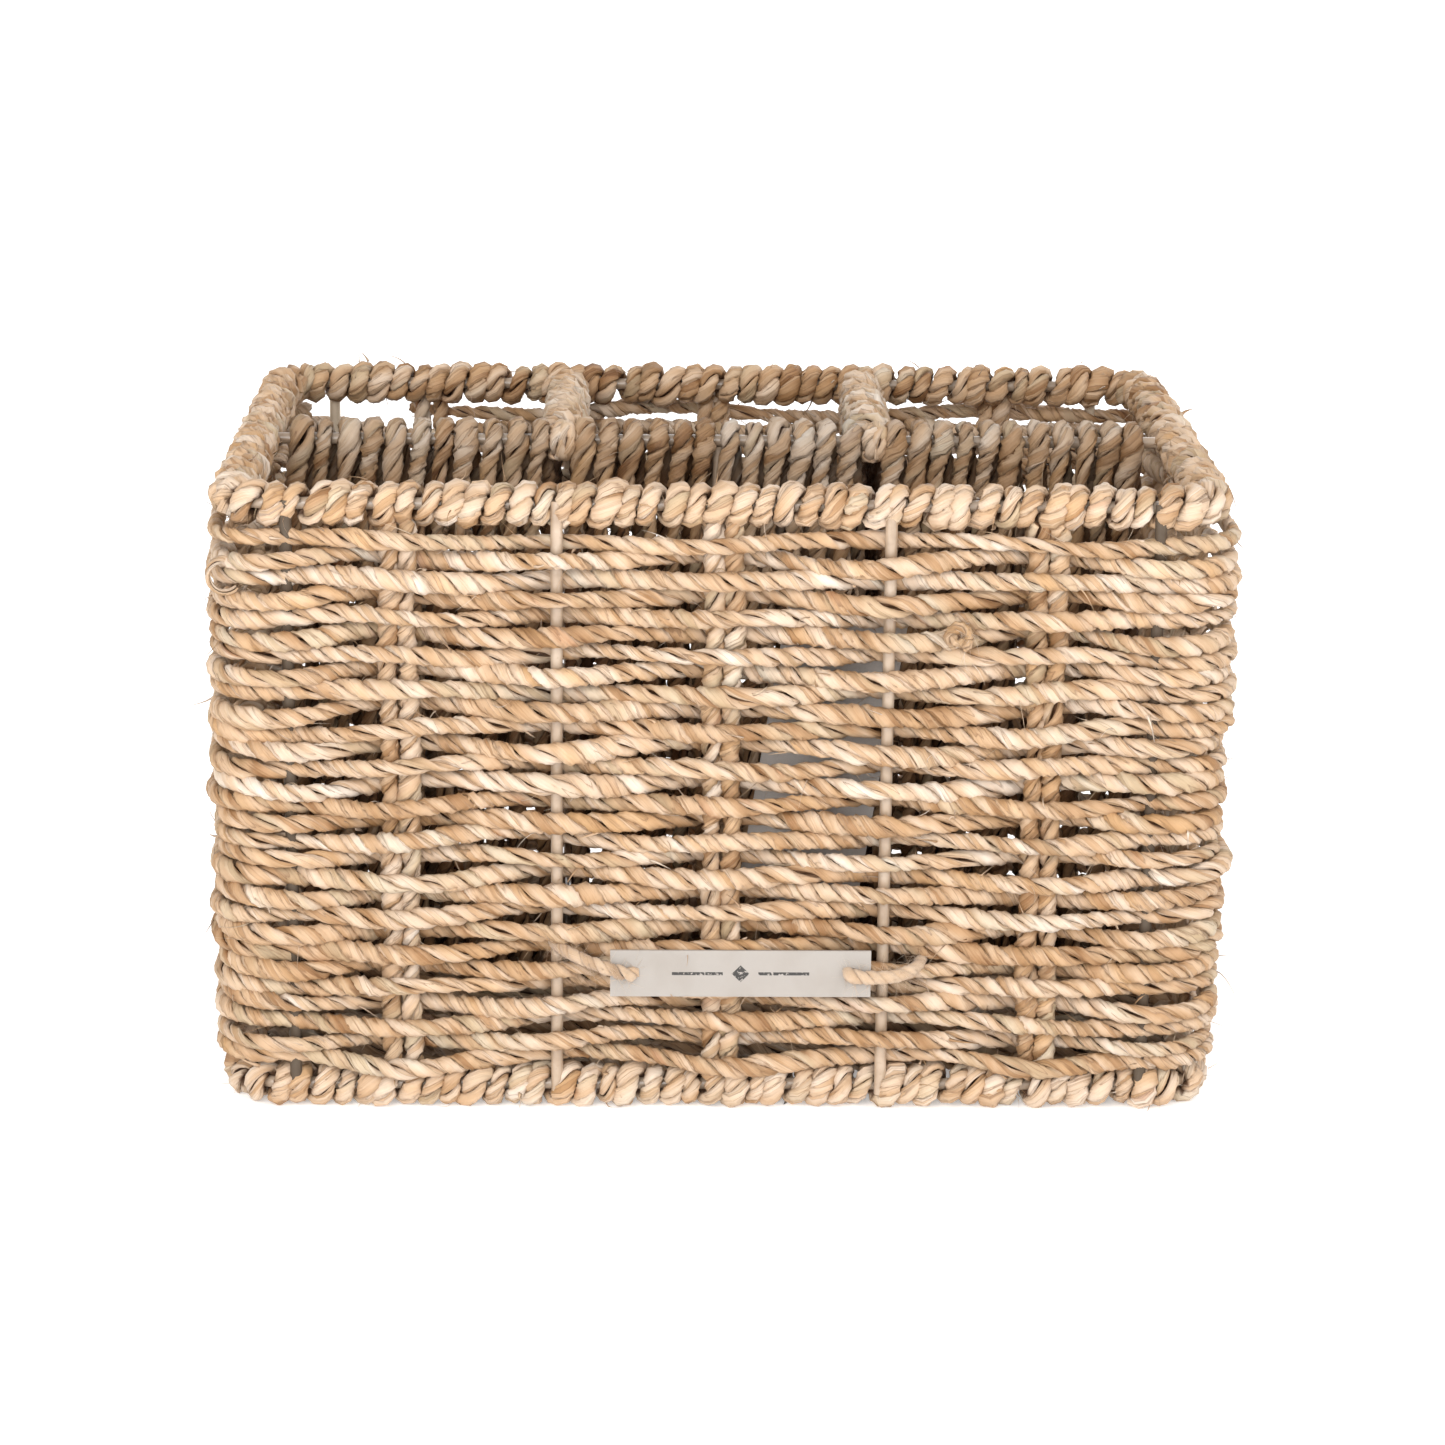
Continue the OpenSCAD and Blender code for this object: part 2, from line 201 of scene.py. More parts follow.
def mixColour(tree, kind, factor, a, b):
    # two colours mixed by the factor; each may be a value or a socket
    node = tree.nodes.new("ShaderNodeMix")
    node.data_type = "RGBA"
    node.blend_type = kind
    node.clamp_result = True
    for socket, value in ((node.inputs["Factor"], factor), (node.inputs[6], a), (node.inputs[7], b)):
        if isinstance(value, bpy.types.NodeSocket):
            tree.links.new(value, socket)
        else:
            socket.default_value = value if isinstance(value, float) else (*value, 1)
    return node.outputs[2]


def maths(tree, kind, a, b=0.0, c=0.0, clamp=False):
    # one sum on up to three values or sockets
    node = tree.nodes.new("ShaderNodeMath")
    node.operation = kind
    node.use_clamp = clamp
    for socket, value in zip(node.inputs, (a, b, c)):
        if isinstance(value, bpy.types.NodeSocket):
            tree.links.new(value, socket)
        else:
            socket.default_value = value
    return node.outputs[0]


def wash(tree, colour, amount, share, paint):
    # paint over the colour by the amount, up to its share
    return mixColour(tree, "MIX", maths(tree, "MULTIPLY", amount, share), colour, paint)


def attribute(tree, name):
    # a number stored at each point of the mesh
    node = tree.nodes.new("ShaderNodeAttribute")
    node.attribute_name = name
    return node.outputs["Fac"]


def scaledUv(tree, scale):
    # distance along the strand and place round it, each by its own scale
    uv = tree.nodes.new("ShaderNodeUVMap")
    uv.uv_map = "strandUv"
    mapping = addNode(tree, "ShaderNodeMapping", Scale=scale)
    tree.links.new(uv.outputs["UV"], mapping.inputs["Vector"])
    return mapping.outputs["Vector"]


def noise(tree, vector, scale, detail, rough=0.5):
    # smooth noise from 0 to 1
    node = addNode(tree, "ShaderNodeTexNoise", Scale=scale, Detail=detail, Roughness=rough)
    tree.links.new(vector, node.inputs["Vector"])
    return node.outputs["Fac"]


def bump(tree, shader, height, strength, distance):
    # the shader's normal tilted by the slope of the height
    node = addNode(tree, "ShaderNodeBump", Strength=strength, Distance=distance)
    tree.links.new(height, node.inputs["Height"])
    tree.links.new(node.outputs["Normal"], shader.inputs["Normal"])


def objectPlace(tree):
    # place in the frame, in metres
    return tree.nodes.new("ShaderNodeTexCoord").outputs["Object"]


seagrassLook = {
    "tones": (
        (0.00, (0.130, 0.054, 0.018)),
        (0.20, (0.275, 0.142, 0.060)),
        (0.40, (0.430, 0.265, 0.144)),
        (0.60, (0.545, 0.385, 0.256)),
        (0.80, (0.628, 0.500, 0.390)),
        (1.00, (0.705, 0.622, 0.540)),
    ),
    # painted shade: the dark brown laid where the plies meet
    "creviceShade": (0.075, 0.028, 0.008),
    # edge: the dark of the painted shadow lines at leaf edges, and of the fine darker grain
    "edge": (0.150, 0.068, 0.026),
    "rust": (0.340, 0.130, 0.045),
    "golden": (0.560, 0.345, 0.165),
    "green": (0.470, 0.425, 0.300),
    "grain": {  # scale along and around the strand, detail, roughness
        "leaf": ((3.6, 52, 1), 1.0, 0.5),
        "veins": ((30, 60, 1), 2.0, 0.5),
        "fine": ((70, 120, 1), 2.0, 0.6),
        "patch": ((0.9, 30, 1), 2.0, 0.5),
        "hue": ((0.8, 21, 1), 2.0, 0.5),
        "blotch": ((1.1, 38, 1), 3.0, 0.5),
    },
    "leaves": 4.5,  # leaf edges, with dark lines of painted shadow, follow the contours of the leaf noise, this many over its range
    "edgeWaver": 0.35,  # how much the veins bend them
    "toneBy": {"own": 0.22, "veins": 0.26, "patch": 0.85},  # how far each one moves the tone
    "washes": (  # noise, where the wash is nothing, where it is whole, its share, its colour
        ("hue", 0.55, 0.68, 0.45, "golden"),
        ("hue", 0.45, 0.32, 0.42, "green"),
        ("blotch", 0.66, 0.75, 0.55, "rust"),
        ("fine", 0.44, 0.32, 0.16, "edge"),
    ),
    # painted shadow lines at the leaf edges: how sharp, and their share
    "edgeSharp": 7.0,
    "edgeShare": 0.62,
    "creviceGain": 5.0,  # painted crevice shade: the depth attribute is spread over five times its own range
    "creviceShare": 0.90,
    "tint": (1.0, 0.98, 0.95),  # what the shade is multiplied by
    "roughness": (0.34, 0.34),  # by the fine noise, and the least
    "specular": 0.32,
    "relief": {"veins": 0.8, "fine": 0.5, "leaf": 0.9},
    "bump": (0.85, 0.0004),
}


def makeSeagrass(name, shade):
    # tone by leaf from the strand's own attribute and noise drawn out along it; dark lines of painted shadow
    # where leaf edges show; painted shade in the crevices, and over all of it by the shade; a waxy gloss
    # that fine veins break up
    look = seagrassLook
    material, tree, shader = newMaterial(name)
    grain = {key: noise(tree, scaledUv(tree, scale), 1.0, detail, rough)
             for key, (scale, detail, rough) in look["grain"].items()}
    waver = maths(tree, "MULTIPLY", grain["veins"], look["edgeWaver"])
    layered = maths(tree, "MULTIPLY_ADD", grain["leaf"], look["leaves"], waver)
    part = maths(tree, "FRACT", layered)
    own = addNode(tree, "ShaderNodeTexWhiteNoise")
    own.noise_dimensions = "1D"
    tree.links.new(maths(tree, "FLOOR", layered), own.inputs["W"])
    sources = {**grain, "own": own.outputs["Value"]}
    level = attribute(tree, "tone")
    for key, share in look["toneBy"].items():
        level = maths(tree, "MULTIPLY_ADD", maths(tree, "SUBTRACT", sources[key], 0.5), share, level)
    colour = ramp(tree, level, look["tones"])
    for key, off, on, share, paint in look["washes"]:
        colour = wash(tree, colour, mask(tree, grain[key], off, on), share, look[paint])
    # painted shadow: a dark line along each leaf edge, where one leaf lies over the next
    line = maths(tree, "SUBTRACT", 1.0, maths(tree, "MULTIPLY", part, look["edgeSharp"]), clamp=True)
    colour = wash(tree, colour, line, look["edgeShare"], look["edge"])
    # painted shade: dark brown by the depth attribute, where the plies sink towards the rope's middle
    deep = maths(tree, "MULTIPLY", attribute(tree, "deep"), look["creviceGain"], clamp=True)
    colour = wash(tree, colour, deep, look["creviceShare"], look["creviceShade"])
    # painted shade: the whole colour multiplied by the shade, below one for the copy used inside the basket
    colour = mixColour(tree, "MULTIPLY", 1.0, colour, tuple(shade * t for t in look["tint"]))
    tree.links.new(colour, shader.inputs["Base Color"])
    rough = maths(tree, "MULTIPLY_ADD", grain["fine"], *look["roughness"])
    tree.links.new(rough, shader.inputs["Roughness"])
    shader.inputs["Specular IOR Level"].default_value = look["specular"]
    relief = look["relief"]
    height = maths(tree, "MULTIPLY", grain["fine"], relief["fine"])
    height = maths(tree, "MULTIPLY_ADD", grain["veins"], relief["veins"], height)
    height = maths(tree, "MULTIPLY_ADD", part, relief["leaf"], height)
    bump(tree, shader, height, *look["bump"])
    return material


wireLook = {
    "paint": (0.500, 0.368, 0.258),
    "worn": (0.360, 0.250, 0.165),
    "dust": (0.610, 0.480, 0.360),
    "broad": (130.0, 3.0),  # scale and detail of the streaks and of the flecks
    "fleck": (900.0, 2.0),
    "streaks": (0.32, 0.48, 0.7),  # worn, painted, dusty
    "wornFrom": (0.60, 0.72),
    "wornShare": 0.35,
    "roughness": (0.35, 0.20),
    "coatRoughness": 0.12,
    "bump": (0.15, 0.0002),
    "wirePaint": {"shade": 0.78, "coat": 0.6, "specular": 0.5},
    "wirePaintDullShaded": {"shade": 0.17, "coat": 0.0, "specular": 0.15},  # posts deep in the weave: painted shade, a far darker copy of the paint, with a duller finish
}


def makeWirePaint(name):
    # straw-coloured coating, thinner in streaks and flecked where rope has rubbed it
    look = wireLook
    finish = look[name]
    material, tree, shader = newMaterial(name)
    place = objectPlace(tree)
    broad = noise(tree, place, *look["broad"])
    fleck = noise(tree, place, *look["fleck"])
    colour = ramp(tree, broad, tuple(zip(look["streaks"], (look["worn"], look["paint"], look["dust"]))))
    colour = wash(tree, colour, mask(tree, fleck, *look["wornFrom"]), look["wornShare"], look["worn"])
    # the colour multiplied by the finish's shade; for the posts this is painted shade
    colour = mixColour(tree, "MULTIPLY", 1.0, colour, (finish["shade"],) * 3)
    tree.links.new(colour, shader.inputs["Base Color"])
    rough = maths(tree, "MULTIPLY_ADD", broad, *look["roughness"])
    tree.links.new(rough, shader.inputs["Roughness"])
    shader.inputs["Coat Weight"].default_value = finish["coat"]
    shader.inputs["Coat Roughness"].default_value = look["coatRoughness"]
    shader.inputs["Specular IOR Level"].default_value = finish["specular"]
    bump(tree, shader, fleck, *look["bump"])
    return material


twineLook = {
    "dark": (0.230, 0.130, 0.068),
    "mid": (0.500, 0.335, 0.205),
    "pale": (0.680, 0.520, 0.370),
    "stops": (0.30, 0.52, 0.80),
    "fibres": ((300, 30, 1), 3.0, 0.7),  # scale along and around, detail, roughness
    "toneShare": 0.5,
    "fibreShare": 0.6,
    # painted shade between the plies: its share
    "deepShare": 0.8,
    "roughness": 0.85,
    "sheen": 0.3,
    "bump": (0.6, 0.0004),
}


def makeTwine():
    # jute: fibres along each ply, painted shade between them
    look = twineLook
    material, tree, shader = newMaterial("juteTwine")
    scale, detail, rough = look["fibres"]
    fibres = noise(tree, scaledUv(tree, scale), 1.0, detail, rough)
    level = maths(tree, "MULTIPLY", fibres, look["fibreShare"])
    level = maths(tree, "MULTIPLY_ADD", attribute(tree, "tone"), look["toneShare"], level)
    colour = ramp(tree, level, tuple(zip(look["stops"], (look["dark"], look["mid"], look["pale"]))))
    # painted shade: the depth attribute darkens the twine where its plies meet
    colour = wash(tree, colour, attribute(tree, "deep"), look["deepShare"], look["dark"])
    tree.links.new(colour, shader.inputs["Base Color"])
    shader.inputs["Roughness"].default_value = look["roughness"]
    shader.inputs["Sheen Weight"].default_value = look["sheen"]
    bump(tree, shader, fibres, *look["bump"])
    return material


labelLook = {
    "ivory": (0.322, 0.292, 0.264),
    "stain": (0.298, 0.266, 0.236),
    "stops": (0.30, 0.55),
    "ink": (0.030, 0.027, 0.025),
    "inkWear": (0.36, 0.44),
    "diamond": 2.2 * mm,
    "rule": (4.4 * mm, 17.0 * mm, 0.40 * mm),  # from, to, half its height
    "cloud": (90.0, 3.0),  # scale and detail of the stains and of the grain
    "grain": (1500.0, 3.0),
    "roughness": (0.25, 0.35),
    "bump": (0.12, 0.0002),
}


def makeLabelFace():
    # smooth ivory strip with faint cloudy stains; a printed diamond, where x and z add up to less
    # than its half width, between two thin rules
    look = labelLook
    material, tree, shader = newMaterial("labelIvory")
    low, high = span("label_strip")
    place = objectPlace(tree)
    centred = addNode(tree, "ShaderNodeMapping", Location=tuple(-(low + high) / 2))
    tree.links.new(place, centred.inputs["Vector"])
    parts = tree.nodes.new("ShaderNodeSeparateXYZ")
    tree.links.new(centred.outputs["Vector"], parts.inputs["Vector"])
    x = maths(tree, "ABSOLUTE", parts.outputs["X"])
    z = maths(tree, "ABSOLUTE", parts.outputs["Z"])
    cloud = noise(tree, place, *look["cloud"])
    grain = noise(tree, place, *look["grain"])
    colour = ramp(tree, cloud, tuple(zip(look["stops"], (look["stain"], look["ivory"]))))
    start, end, half = look["rule"]
    onRule = maths(tree, "MULTIPLY", maths(tree, "GREATER_THAN", x, start), maths(tree, "LESS_THAN", x, end))
    onRule = maths(tree, "MULTIPLY", onRule, maths(tree, "LESS_THAN", z, half))
    inDiamond = maths(tree, "LESS_THAN", maths(tree, "ADD", x, z), look["diamond"])
    facing = maths(tree, "LESS_THAN", parts.outputs["Y"], 0.0)
    printed = maths(tree, "MULTIPLY", maths(tree, "MAXIMUM", onRule, inDiamond), facing)
    inked = maths(tree, "MULTIPLY", printed, mask(tree, grain, *look["inkWear"]))
    colour = mixColour(tree, "MIX", inked, colour, look["ink"])
    tree.links.new(colour, shader.inputs["Base Color"])
    tree.links.new(maths(tree, "MULTIPLY_ADD", cloud, *look["roughness"]), shader.inputs["Roughness"])
    bump(tree, shader, grain, *look["bump"])
    return material


cardLook = {
    "grey": (0.400, 0.372, 0.350),
    "warm": (0.460, 0.420, 0.385),
    "fleck": (0.6, 0.6, 0.6),
    "stops": (0.3, 0.7),
    "fleckShare": 0.25,
    "cloud": (60.0, 3.0),  # scale and detail of the clouds and of the fibre
    "fibre": (2200.0, 3.0),
    "roughness": 0.75,
    "bump": (0.2, 0.0002),
}


def makeCardPaper():
    # matt grey board with fine paper fibre
    look = cardLook
    material, tree, shader = newMaterial("cardPaper")
    place = objectPlace(tree)
    cloud = noise(tree, place, *look["cloud"])
    fibre = noise(tree, place, *look["fibre"])
    colour = ramp(tree, cloud, tuple(zip(look["stops"], (look["grey"], look["warm"]))))
    flecks = ramp(tree, fibre, tuple(zip(look["stops"], (look["fleck"], (1, 1, 1)))))
    colour = mixColour(tree, "MULTIPLY", look["fleckShare"], colour, flecks)
    tree.links.new(colour, shader.inputs["Base Color"])
    shader.inputs["Roughness"].default_value = look["roughness"]
    bump(tree, shader, fibre, *look["bump"])
    return material


innerShade = 0.74  # painted shade: rope inside the basket gets a darker copy of the seagrass, as it stands in shade

seagrass = makeSeagrass("seagrass", 1.0)
innerSeagrassShaded = makeSeagrass("seagrassInnerShaded", innerShade)
wirePaint = makeWirePaint("wirePaint")
# painted shade: a far darker copy of the wire paint for the front posts
postPaintShaded = makeWirePaint("wirePaintDullShaded")
twine = makeTwine()
labelIvory = makeLabelFace()
cardPaper = makeCardPaper()
print("stage: materials")


def unit(v):
    # each vector over its own length
    return v / np.maximum(np.linalg.norm(v, axis=-1, keepdims=True), 1e-12)


def dot(a, b):
    # the sum of the products of the parts, kept as a column
    return (a * b).sum(-1, keepdims=True)


def wander(s, reach, rng):
    # smooth noise of about unit height along s: three sines of periods near reach
    total = np.zeros_like(s)
    for share in (1.7, 1.0, 0.55):
        period = reach * share * rng.uniform(0.8, 1.25)
        total += math.sqrt(share) * np.sin(2 * math.pi * s / period + rng.uniform(0, 2 * math.pi))
    return total / 1.8


def evenly(points, side, step):
    # the same path with points a step apart along its length
    gone = np.r_[0, np.cumsum(np.linalg.norm(np.diff(points, axis=0), axis=1))]
    count = max(6, int(round(gone[-1] / step)) + 1)
    s = np.linspace(0, gone[-1], count)
    even = np.stack([np.interp(s, gone, points[:, i]) for i in range(3)], axis=1)
    lies = np.stack([np.interp(s, gone, side[:, i]) for i in range(3)], axis=1)
    return even, lies, s


def tubeFaces(rings, around):
    # quads between neighbouring rings, then a fan to a middle point at each end
    i = np.arange(rings - 1)[:, None] * around
    j = np.arange(around)[None, :]
    k = (j + 1) % around
    quads = np.stack([i + j, i + k, i + k + around, i + j + around], axis=-1).reshape(-1, 4)
    j = np.arange(around)
    k = (j + 1) % around
    low = np.full(around, rings * around)
    last = (rings - 1) * around
    ends = np.concatenate([np.stack([low, k, j], 1), np.stack([low + 1, last + j, last + k], 1)])
    return quads, ends


ropeShape = {
    "radius": 2.7 * mm,
    "lay": 12.5 * mm,  # length of one full twist
    "layDrift": 1.35,  # how far the twist runs ahead or behind, in radians
    "step": 1.4 * mm,
    "around": 12,
    "flatten": 0.92,  # pressed against what it lies on
    "offset": 0.55,  # from the rope's middle to each ply's, over the radius
    "deepPly": 0.53,  # the ply's half sizes, over the radius
    "widePly": 0.78,
    "square": 0.88,  # below one, the ply's sides are flatter than an oval's
    "uneven": 0.10,
    "plyUneven": (0.12, 0.10, 0.10, 0.15),  # in its angle, its lift, its depth and its width
    "tipGirth": 0.8,
    "tipLength": 0.25,
    "ridges": ((2, 0.07), (3, 0.10), (5, 0.055)),  # how many round the ply, and how high
    "ridgeDrift": ((1.6, 0.03), (2.4, 0.03), (3.0, 0.02)),  # radians, and over what length
    "creviceShade": (0.60, 0.5),  # painted shade in the crevices: how near the rope's middle it begins, and over what distance
    "shaded": (0.16, 1.2),  # the same for the painted shade on the side that lies on a wire
    "tone": 0.52,
    "toneSpread": 0.08,
    "plyTone": (0.04, 0.10, 0.08, 0.06),  # by ply, along it, and once and twice round it
    "swell": None,  # girth and tone along the path, as factors and shifts
    "shiftTone": None,
    "shade": 0.0,  # painted shade: how dark the side that lies on a wire is, as between wound turns
}


def ropeParts(points, side, rng, **changes):
    # two plies on a right-handed helix round the path; each is an oval tube whose leaves give it
    # a few blunt ridges that drift round it, with a slowly changing girth
    rope = {**ropeShape, **changes}
    centre, lies, s = evenly(points, side, rope["step"])
    along = unit(np.gradient(centre, axis=0))
    out = unit(lies - along * dot(lies, along))
    across = np.cross(along, out)
    twist = rng.uniform(0, 2 * math.pi) + 2 * math.pi * s / rope["lay"]
    twist = twist + rope["layDrift"] * wander(s, 0.06, rng)
    thick = rope["radius"] * (1 + rope["uneven"] * wander(s, 0.06, rng))
    given = np.linspace(0, s[-1], len(points))
    if rope["swell"] is not None:
        thick *= np.interp(s, given, rope["swell"])
    # a shift in tone along the path; for the divider turns it is painted shade lower down
    shift = 0.0 if rope["shiftTone"] is None else np.interp(s, given, rope["shiftTone"])[:, None]
    thick[0] *= rope["tipGirth"]
    thick[-1] *= rope["tipGirth"]
    theta = math.pi + np.arange(rope["around"]) / rope["around"] * 2 * math.pi
    ovalX = np.sign(np.cos(theta)) * np.abs(np.cos(theta)) ** rope["square"]
    ovalY = np.sign(np.sin(theta)) * np.abs(np.sin(theta)) ** rope["square"]
    ropeTone = rope["tone"] + rope["toneSpread"] * rng.normal()
    unevenAngle, unevenLift, unevenDeep, unevenWide = rope["plyUneven"]
    toneByPly, toneAlong, toneOnce, toneTwice = rope["plyTone"]
    found = []
    for ply in (0, 1):
        angle = twist + math.pi * ply + unevenAngle * wander(s, 0.02, rng)
        lift = thick * rope["offset"] * (1 + unevenLift * wander(s, 0.02, rng))
        reach = lift[:, None] * (np.cos(angle)[:, None] * out + np.sin(angle)[:, None] * across)
        line = centre + reach
        forward = unit(np.gradient(line, axis=0))
        radial = unit(reach - forward * dot(reach, forward))
        girth = np.cross(forward, radial)
        drift = rng.uniform(0, 6.28, 3)[:, None] + np.stack(
            [amount * wander(s, length, rng) for amount, length in rope["ridgeDrift"]])
        fold = 1 + sum(high * np.cos(count * theta + d[:, None])
                       for (count, high), d in zip(rope["ridges"], drift))
        deep = (thick * rope["deepPly"] * (1 + unevenDeep * wander(s, 0.014, rng)))[:, None]
        wide = (thick * rope["widePly"] * (1 + unevenWide * wander(s, 0.016, rng)))[:, None]
        skin = (line[:, None] + (deep * fold * ovalX)[..., None] * radial[:, None]
                + (wide * fold * ovalY)[..., None] * girth[:, None])
        rel = skin - centre[:, None]
        press = (rel * out[:, None]).sum(-1, keepdims=True)
        skin = skin - out[:, None] * press * (1 - rope["flatten"])
        away = np.linalg.norm(rel, axis=-1) / thick[:, None]
        # painted shade: the depth attribute grows towards the rope's middle, where the plies meet
        paintedShade = np.clip((rope["creviceShade"][0] - away) / rope["creviceShade"][1], -1, 1)
        # painted shade on the side that lies on a wire, as between wound turns
        if rope["shade"]:
            lean = (rope["shaded"][0] - press[..., 0] / thick[:, None]) / rope["shaded"][1]
            paintedShade = np.maximum(paintedShade, np.clip(lean, -1, rope["shade"] / seagrassLook["creviceGain"]))
        tone = (ropeTone + shift + toneByPly * ply + toneAlong * wander(s, 0.07, rng)[:, None]
                + toneOnce * np.cos(theta + drift[1][:, None])
                + toneTwice * np.cos(2 * theta + drift[2][:, None]))
        tip = thick * rope["tipLength"]
        ends = np.stack([line[0] - forward[0] * tip[0], line[-1] + forward[-1] * tip[-1]])
        found.append({
            "skin": skin[None],
            "ends": ends[None],
            "tone": tone[None],
            "deep": paintedShade[None],
            "run": (s + rng.uniform(0, 3))[None],
            "lane": (np.arange(rope["around"]) / rope["around"] + rng.uniform(0, 40))[None],
            "line": line,
            "forward": forward,
            "radial": radial,
            "deepPly": deep[:, 0],
        })
    return found


fibreShape = {
    "bed": 0.85,  # how deep the root stands, over the ply's half depth
    "spread": 0.5 * mm,
    "waySpread": 0.25,
    "bendSpread": 0.35,
    "droop": (0, 0, 0.15),
    "points": 5,
    "taper": 0.85,
    "thin": 0.45,  # thickness over width
    "toneSpread": 0.14,
    "laneStep": 0.03,
}


def fibreParts(tubes, rng, count, reach, width, lift, tone):
    # fibres that spring from the strands: a bent line, root + way t + bend t squared, as a
    # three-sided tube that tapers to its tip
    fibre = fibreShape
    line, forward, radial, depth = (np.concatenate([t[k] for t in tubes])
                                    for k in ("line", "forward", "radial", "deepPly"))
    pick = rng.integers(0, len(line), count)
    length = rng.uniform(*reach, count)[:, None]
    rise = rng.uniform(*lift, count)[:, None]
    sign = rng.choice((-1.0, 1.0), count)[:, None]
    girth = np.cross(forward, radial)[pick]
    root = line[pick] + radial[pick] * (depth[pick][:, None] * fibre["bed"])
    root = root + girth * rng.normal(0, fibre["spread"], (count, 1))
    way = forward[pick] * sign * np.cos(rise) + radial[pick] * np.sin(rise)
    way = unit(way + rng.normal(0, fibre["waySpread"], (count, 3)))
    bend = rng.normal(0, fibre["bendSpread"], (count, 3)) - fibre["droop"]
    t = np.linspace(0, 1, fibre["points"])[None, :, None]
    centre = root[:, None] + (way[:, None] * t + bend[:, None] * t ** 2) * length[:, None]
    path = unit(np.gradient(centre, axis=1))
    flat = unit(np.cross(path, rng.normal(0, 1, (count, 1, 3))))
    edge = np.cross(path, flat)
    size = (rng.uniform(*width, count)[:, None] * (1 - fibre["taper"] * t[..., 0]))[..., None, None] / 2
    turn = (np.arange(3) * 2 * math.pi / 3)[None, None, :, None]
    oval = np.cos(turn) * flat[:, :, None] + fibre["thin"] * np.sin(turn) * edge[:, :, None]
    skin = centre[:, :, None] + size * oval
    shape = skin.shape[:3]
    return {
        "skin": skin,
        "ends": np.stack([centre[:, 0], centre[:, -1]], axis=1),
        "tone": np.broadcast_to(rng.normal(tone, fibre["toneSpread"], count)[:, None, None], shape),
        "deep": np.full(shape, -1.0),
        "run": rng.uniform(0, 3, count)[:, None] + length * t[0, :, 0],
        "lane": rng.uniform(0, 40, count)[:, None] + np.arange(3) * fibre["laneStep"],
    }


groundGap = 0.1 * mm


def buildPiece(name, blocks, material):
    # every block's tubes joined into one mesh, with its UV along and around each strand
    points, quads, fans, uvQuads, uvFans, first = [], [], [], [], [], 0
    held = {"tone": [], "deep": []}
    for block in blocks:
        count, rings, around = block["skin"].shape[:3]
        q, f = tubeFaces(rings, around)
        each = rings * around + 2
        starts = (first + np.arange(count) * each)[:, None, None]
        skin = block["skin"].reshape(count, -1, 3)
        points.append(np.concatenate([skin, block["ends"]], axis=1).reshape(-1, 3))
        quads.append((q + starts).reshape(-1, 4))
        fans.append((f + starts).reshape(-1, 3))
        for key in held:
            value = block[key].reshape(count, -1)
            held[key].append(np.concatenate([value, value[:, :1], value[:, -1:]], axis=1).ravel())
        u = np.broadcast_to(block["run"][:, :, None], (count, rings, around))
        v = np.broadcast_to(block["lane"][:, None, :], (count, rings, around))
        step = v[0, 0, 1] - v[0, 0, 0]
        corner = np.stack([
            np.stack([v[:, :-1], u[:, :-1]], -1), np.stack([v[:, :-1] + step, u[:, :-1]], -1),
            np.stack([v[:, :-1] + step, u[:, 1:]], -1), np.stack([v[:, :-1], u[:, 1:]], -1)], axis=3)
        uvQuads.append(corner.reshape(-1, 2))
        tip = np.zeros((count, 2, around, 3, 2))
        tip[:, 0, :, :, 1] = u[:, 0, :, None]
        tip[:, 1, :, :, 1] = u[:, -1, :, None]
        tip[..., 0] = v[:, :1, :, None]
        uvFans.append(tip.reshape(-1, 2))
        first += count * each
    points, quads, fans = (np.concatenate(a) for a in (points, quads, fans))
    points[:, 2] = np.maximum(points[:, 2], groundGap)  # what would go through the ground lies flat
    mesh = bpy.data.meshes.new(name)
    mesh.vertices.add(len(points))
    mesh.vertices.foreach_set("co", points.astype(np.float32).ravel())
    corners = np.r_[quads.ravel(), fans.ravel()].astype(np.int32)
    starts = np.r_[np.arange(len(quads)) * 4, len(quads) * 4 + np.arange(len(fans)) * 3].astype(np.int32)
    mesh.loops.add(len(corners))
    mesh.loops.foreach_set("vertex_index", corners)
    mesh.polygons.add(len(starts))
    mesh.polygons.foreach_set("loop_start", starts)
    mesh.update(calc_edges=True)
    mesh.polygons.foreach_set("use_smooth", np.ones(len(starts), bool))
    layer = mesh.uv_layers.new(name="strandUv")
    layer.data.foreach_set("uv", np.concatenate(uvQuads + uvFans).astype(np.float32).ravel())
    for key, values in held.items():
        stored = mesh.attributes.new(key, "FLOAT", "POINT")
        stored.data.foreach_set("value", np.concatenate(values).astype(np.float32))
    mesh.materials.append(material)
    mesh.validate()
    piece = bpy.data.objects.new(name, mesh)
    bpy.context.collection.objects.link(piece)
    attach(piece, "root")
    print(f"piece {name}: {len(quads) * 2 + len(fans)} triangles")
    return piece


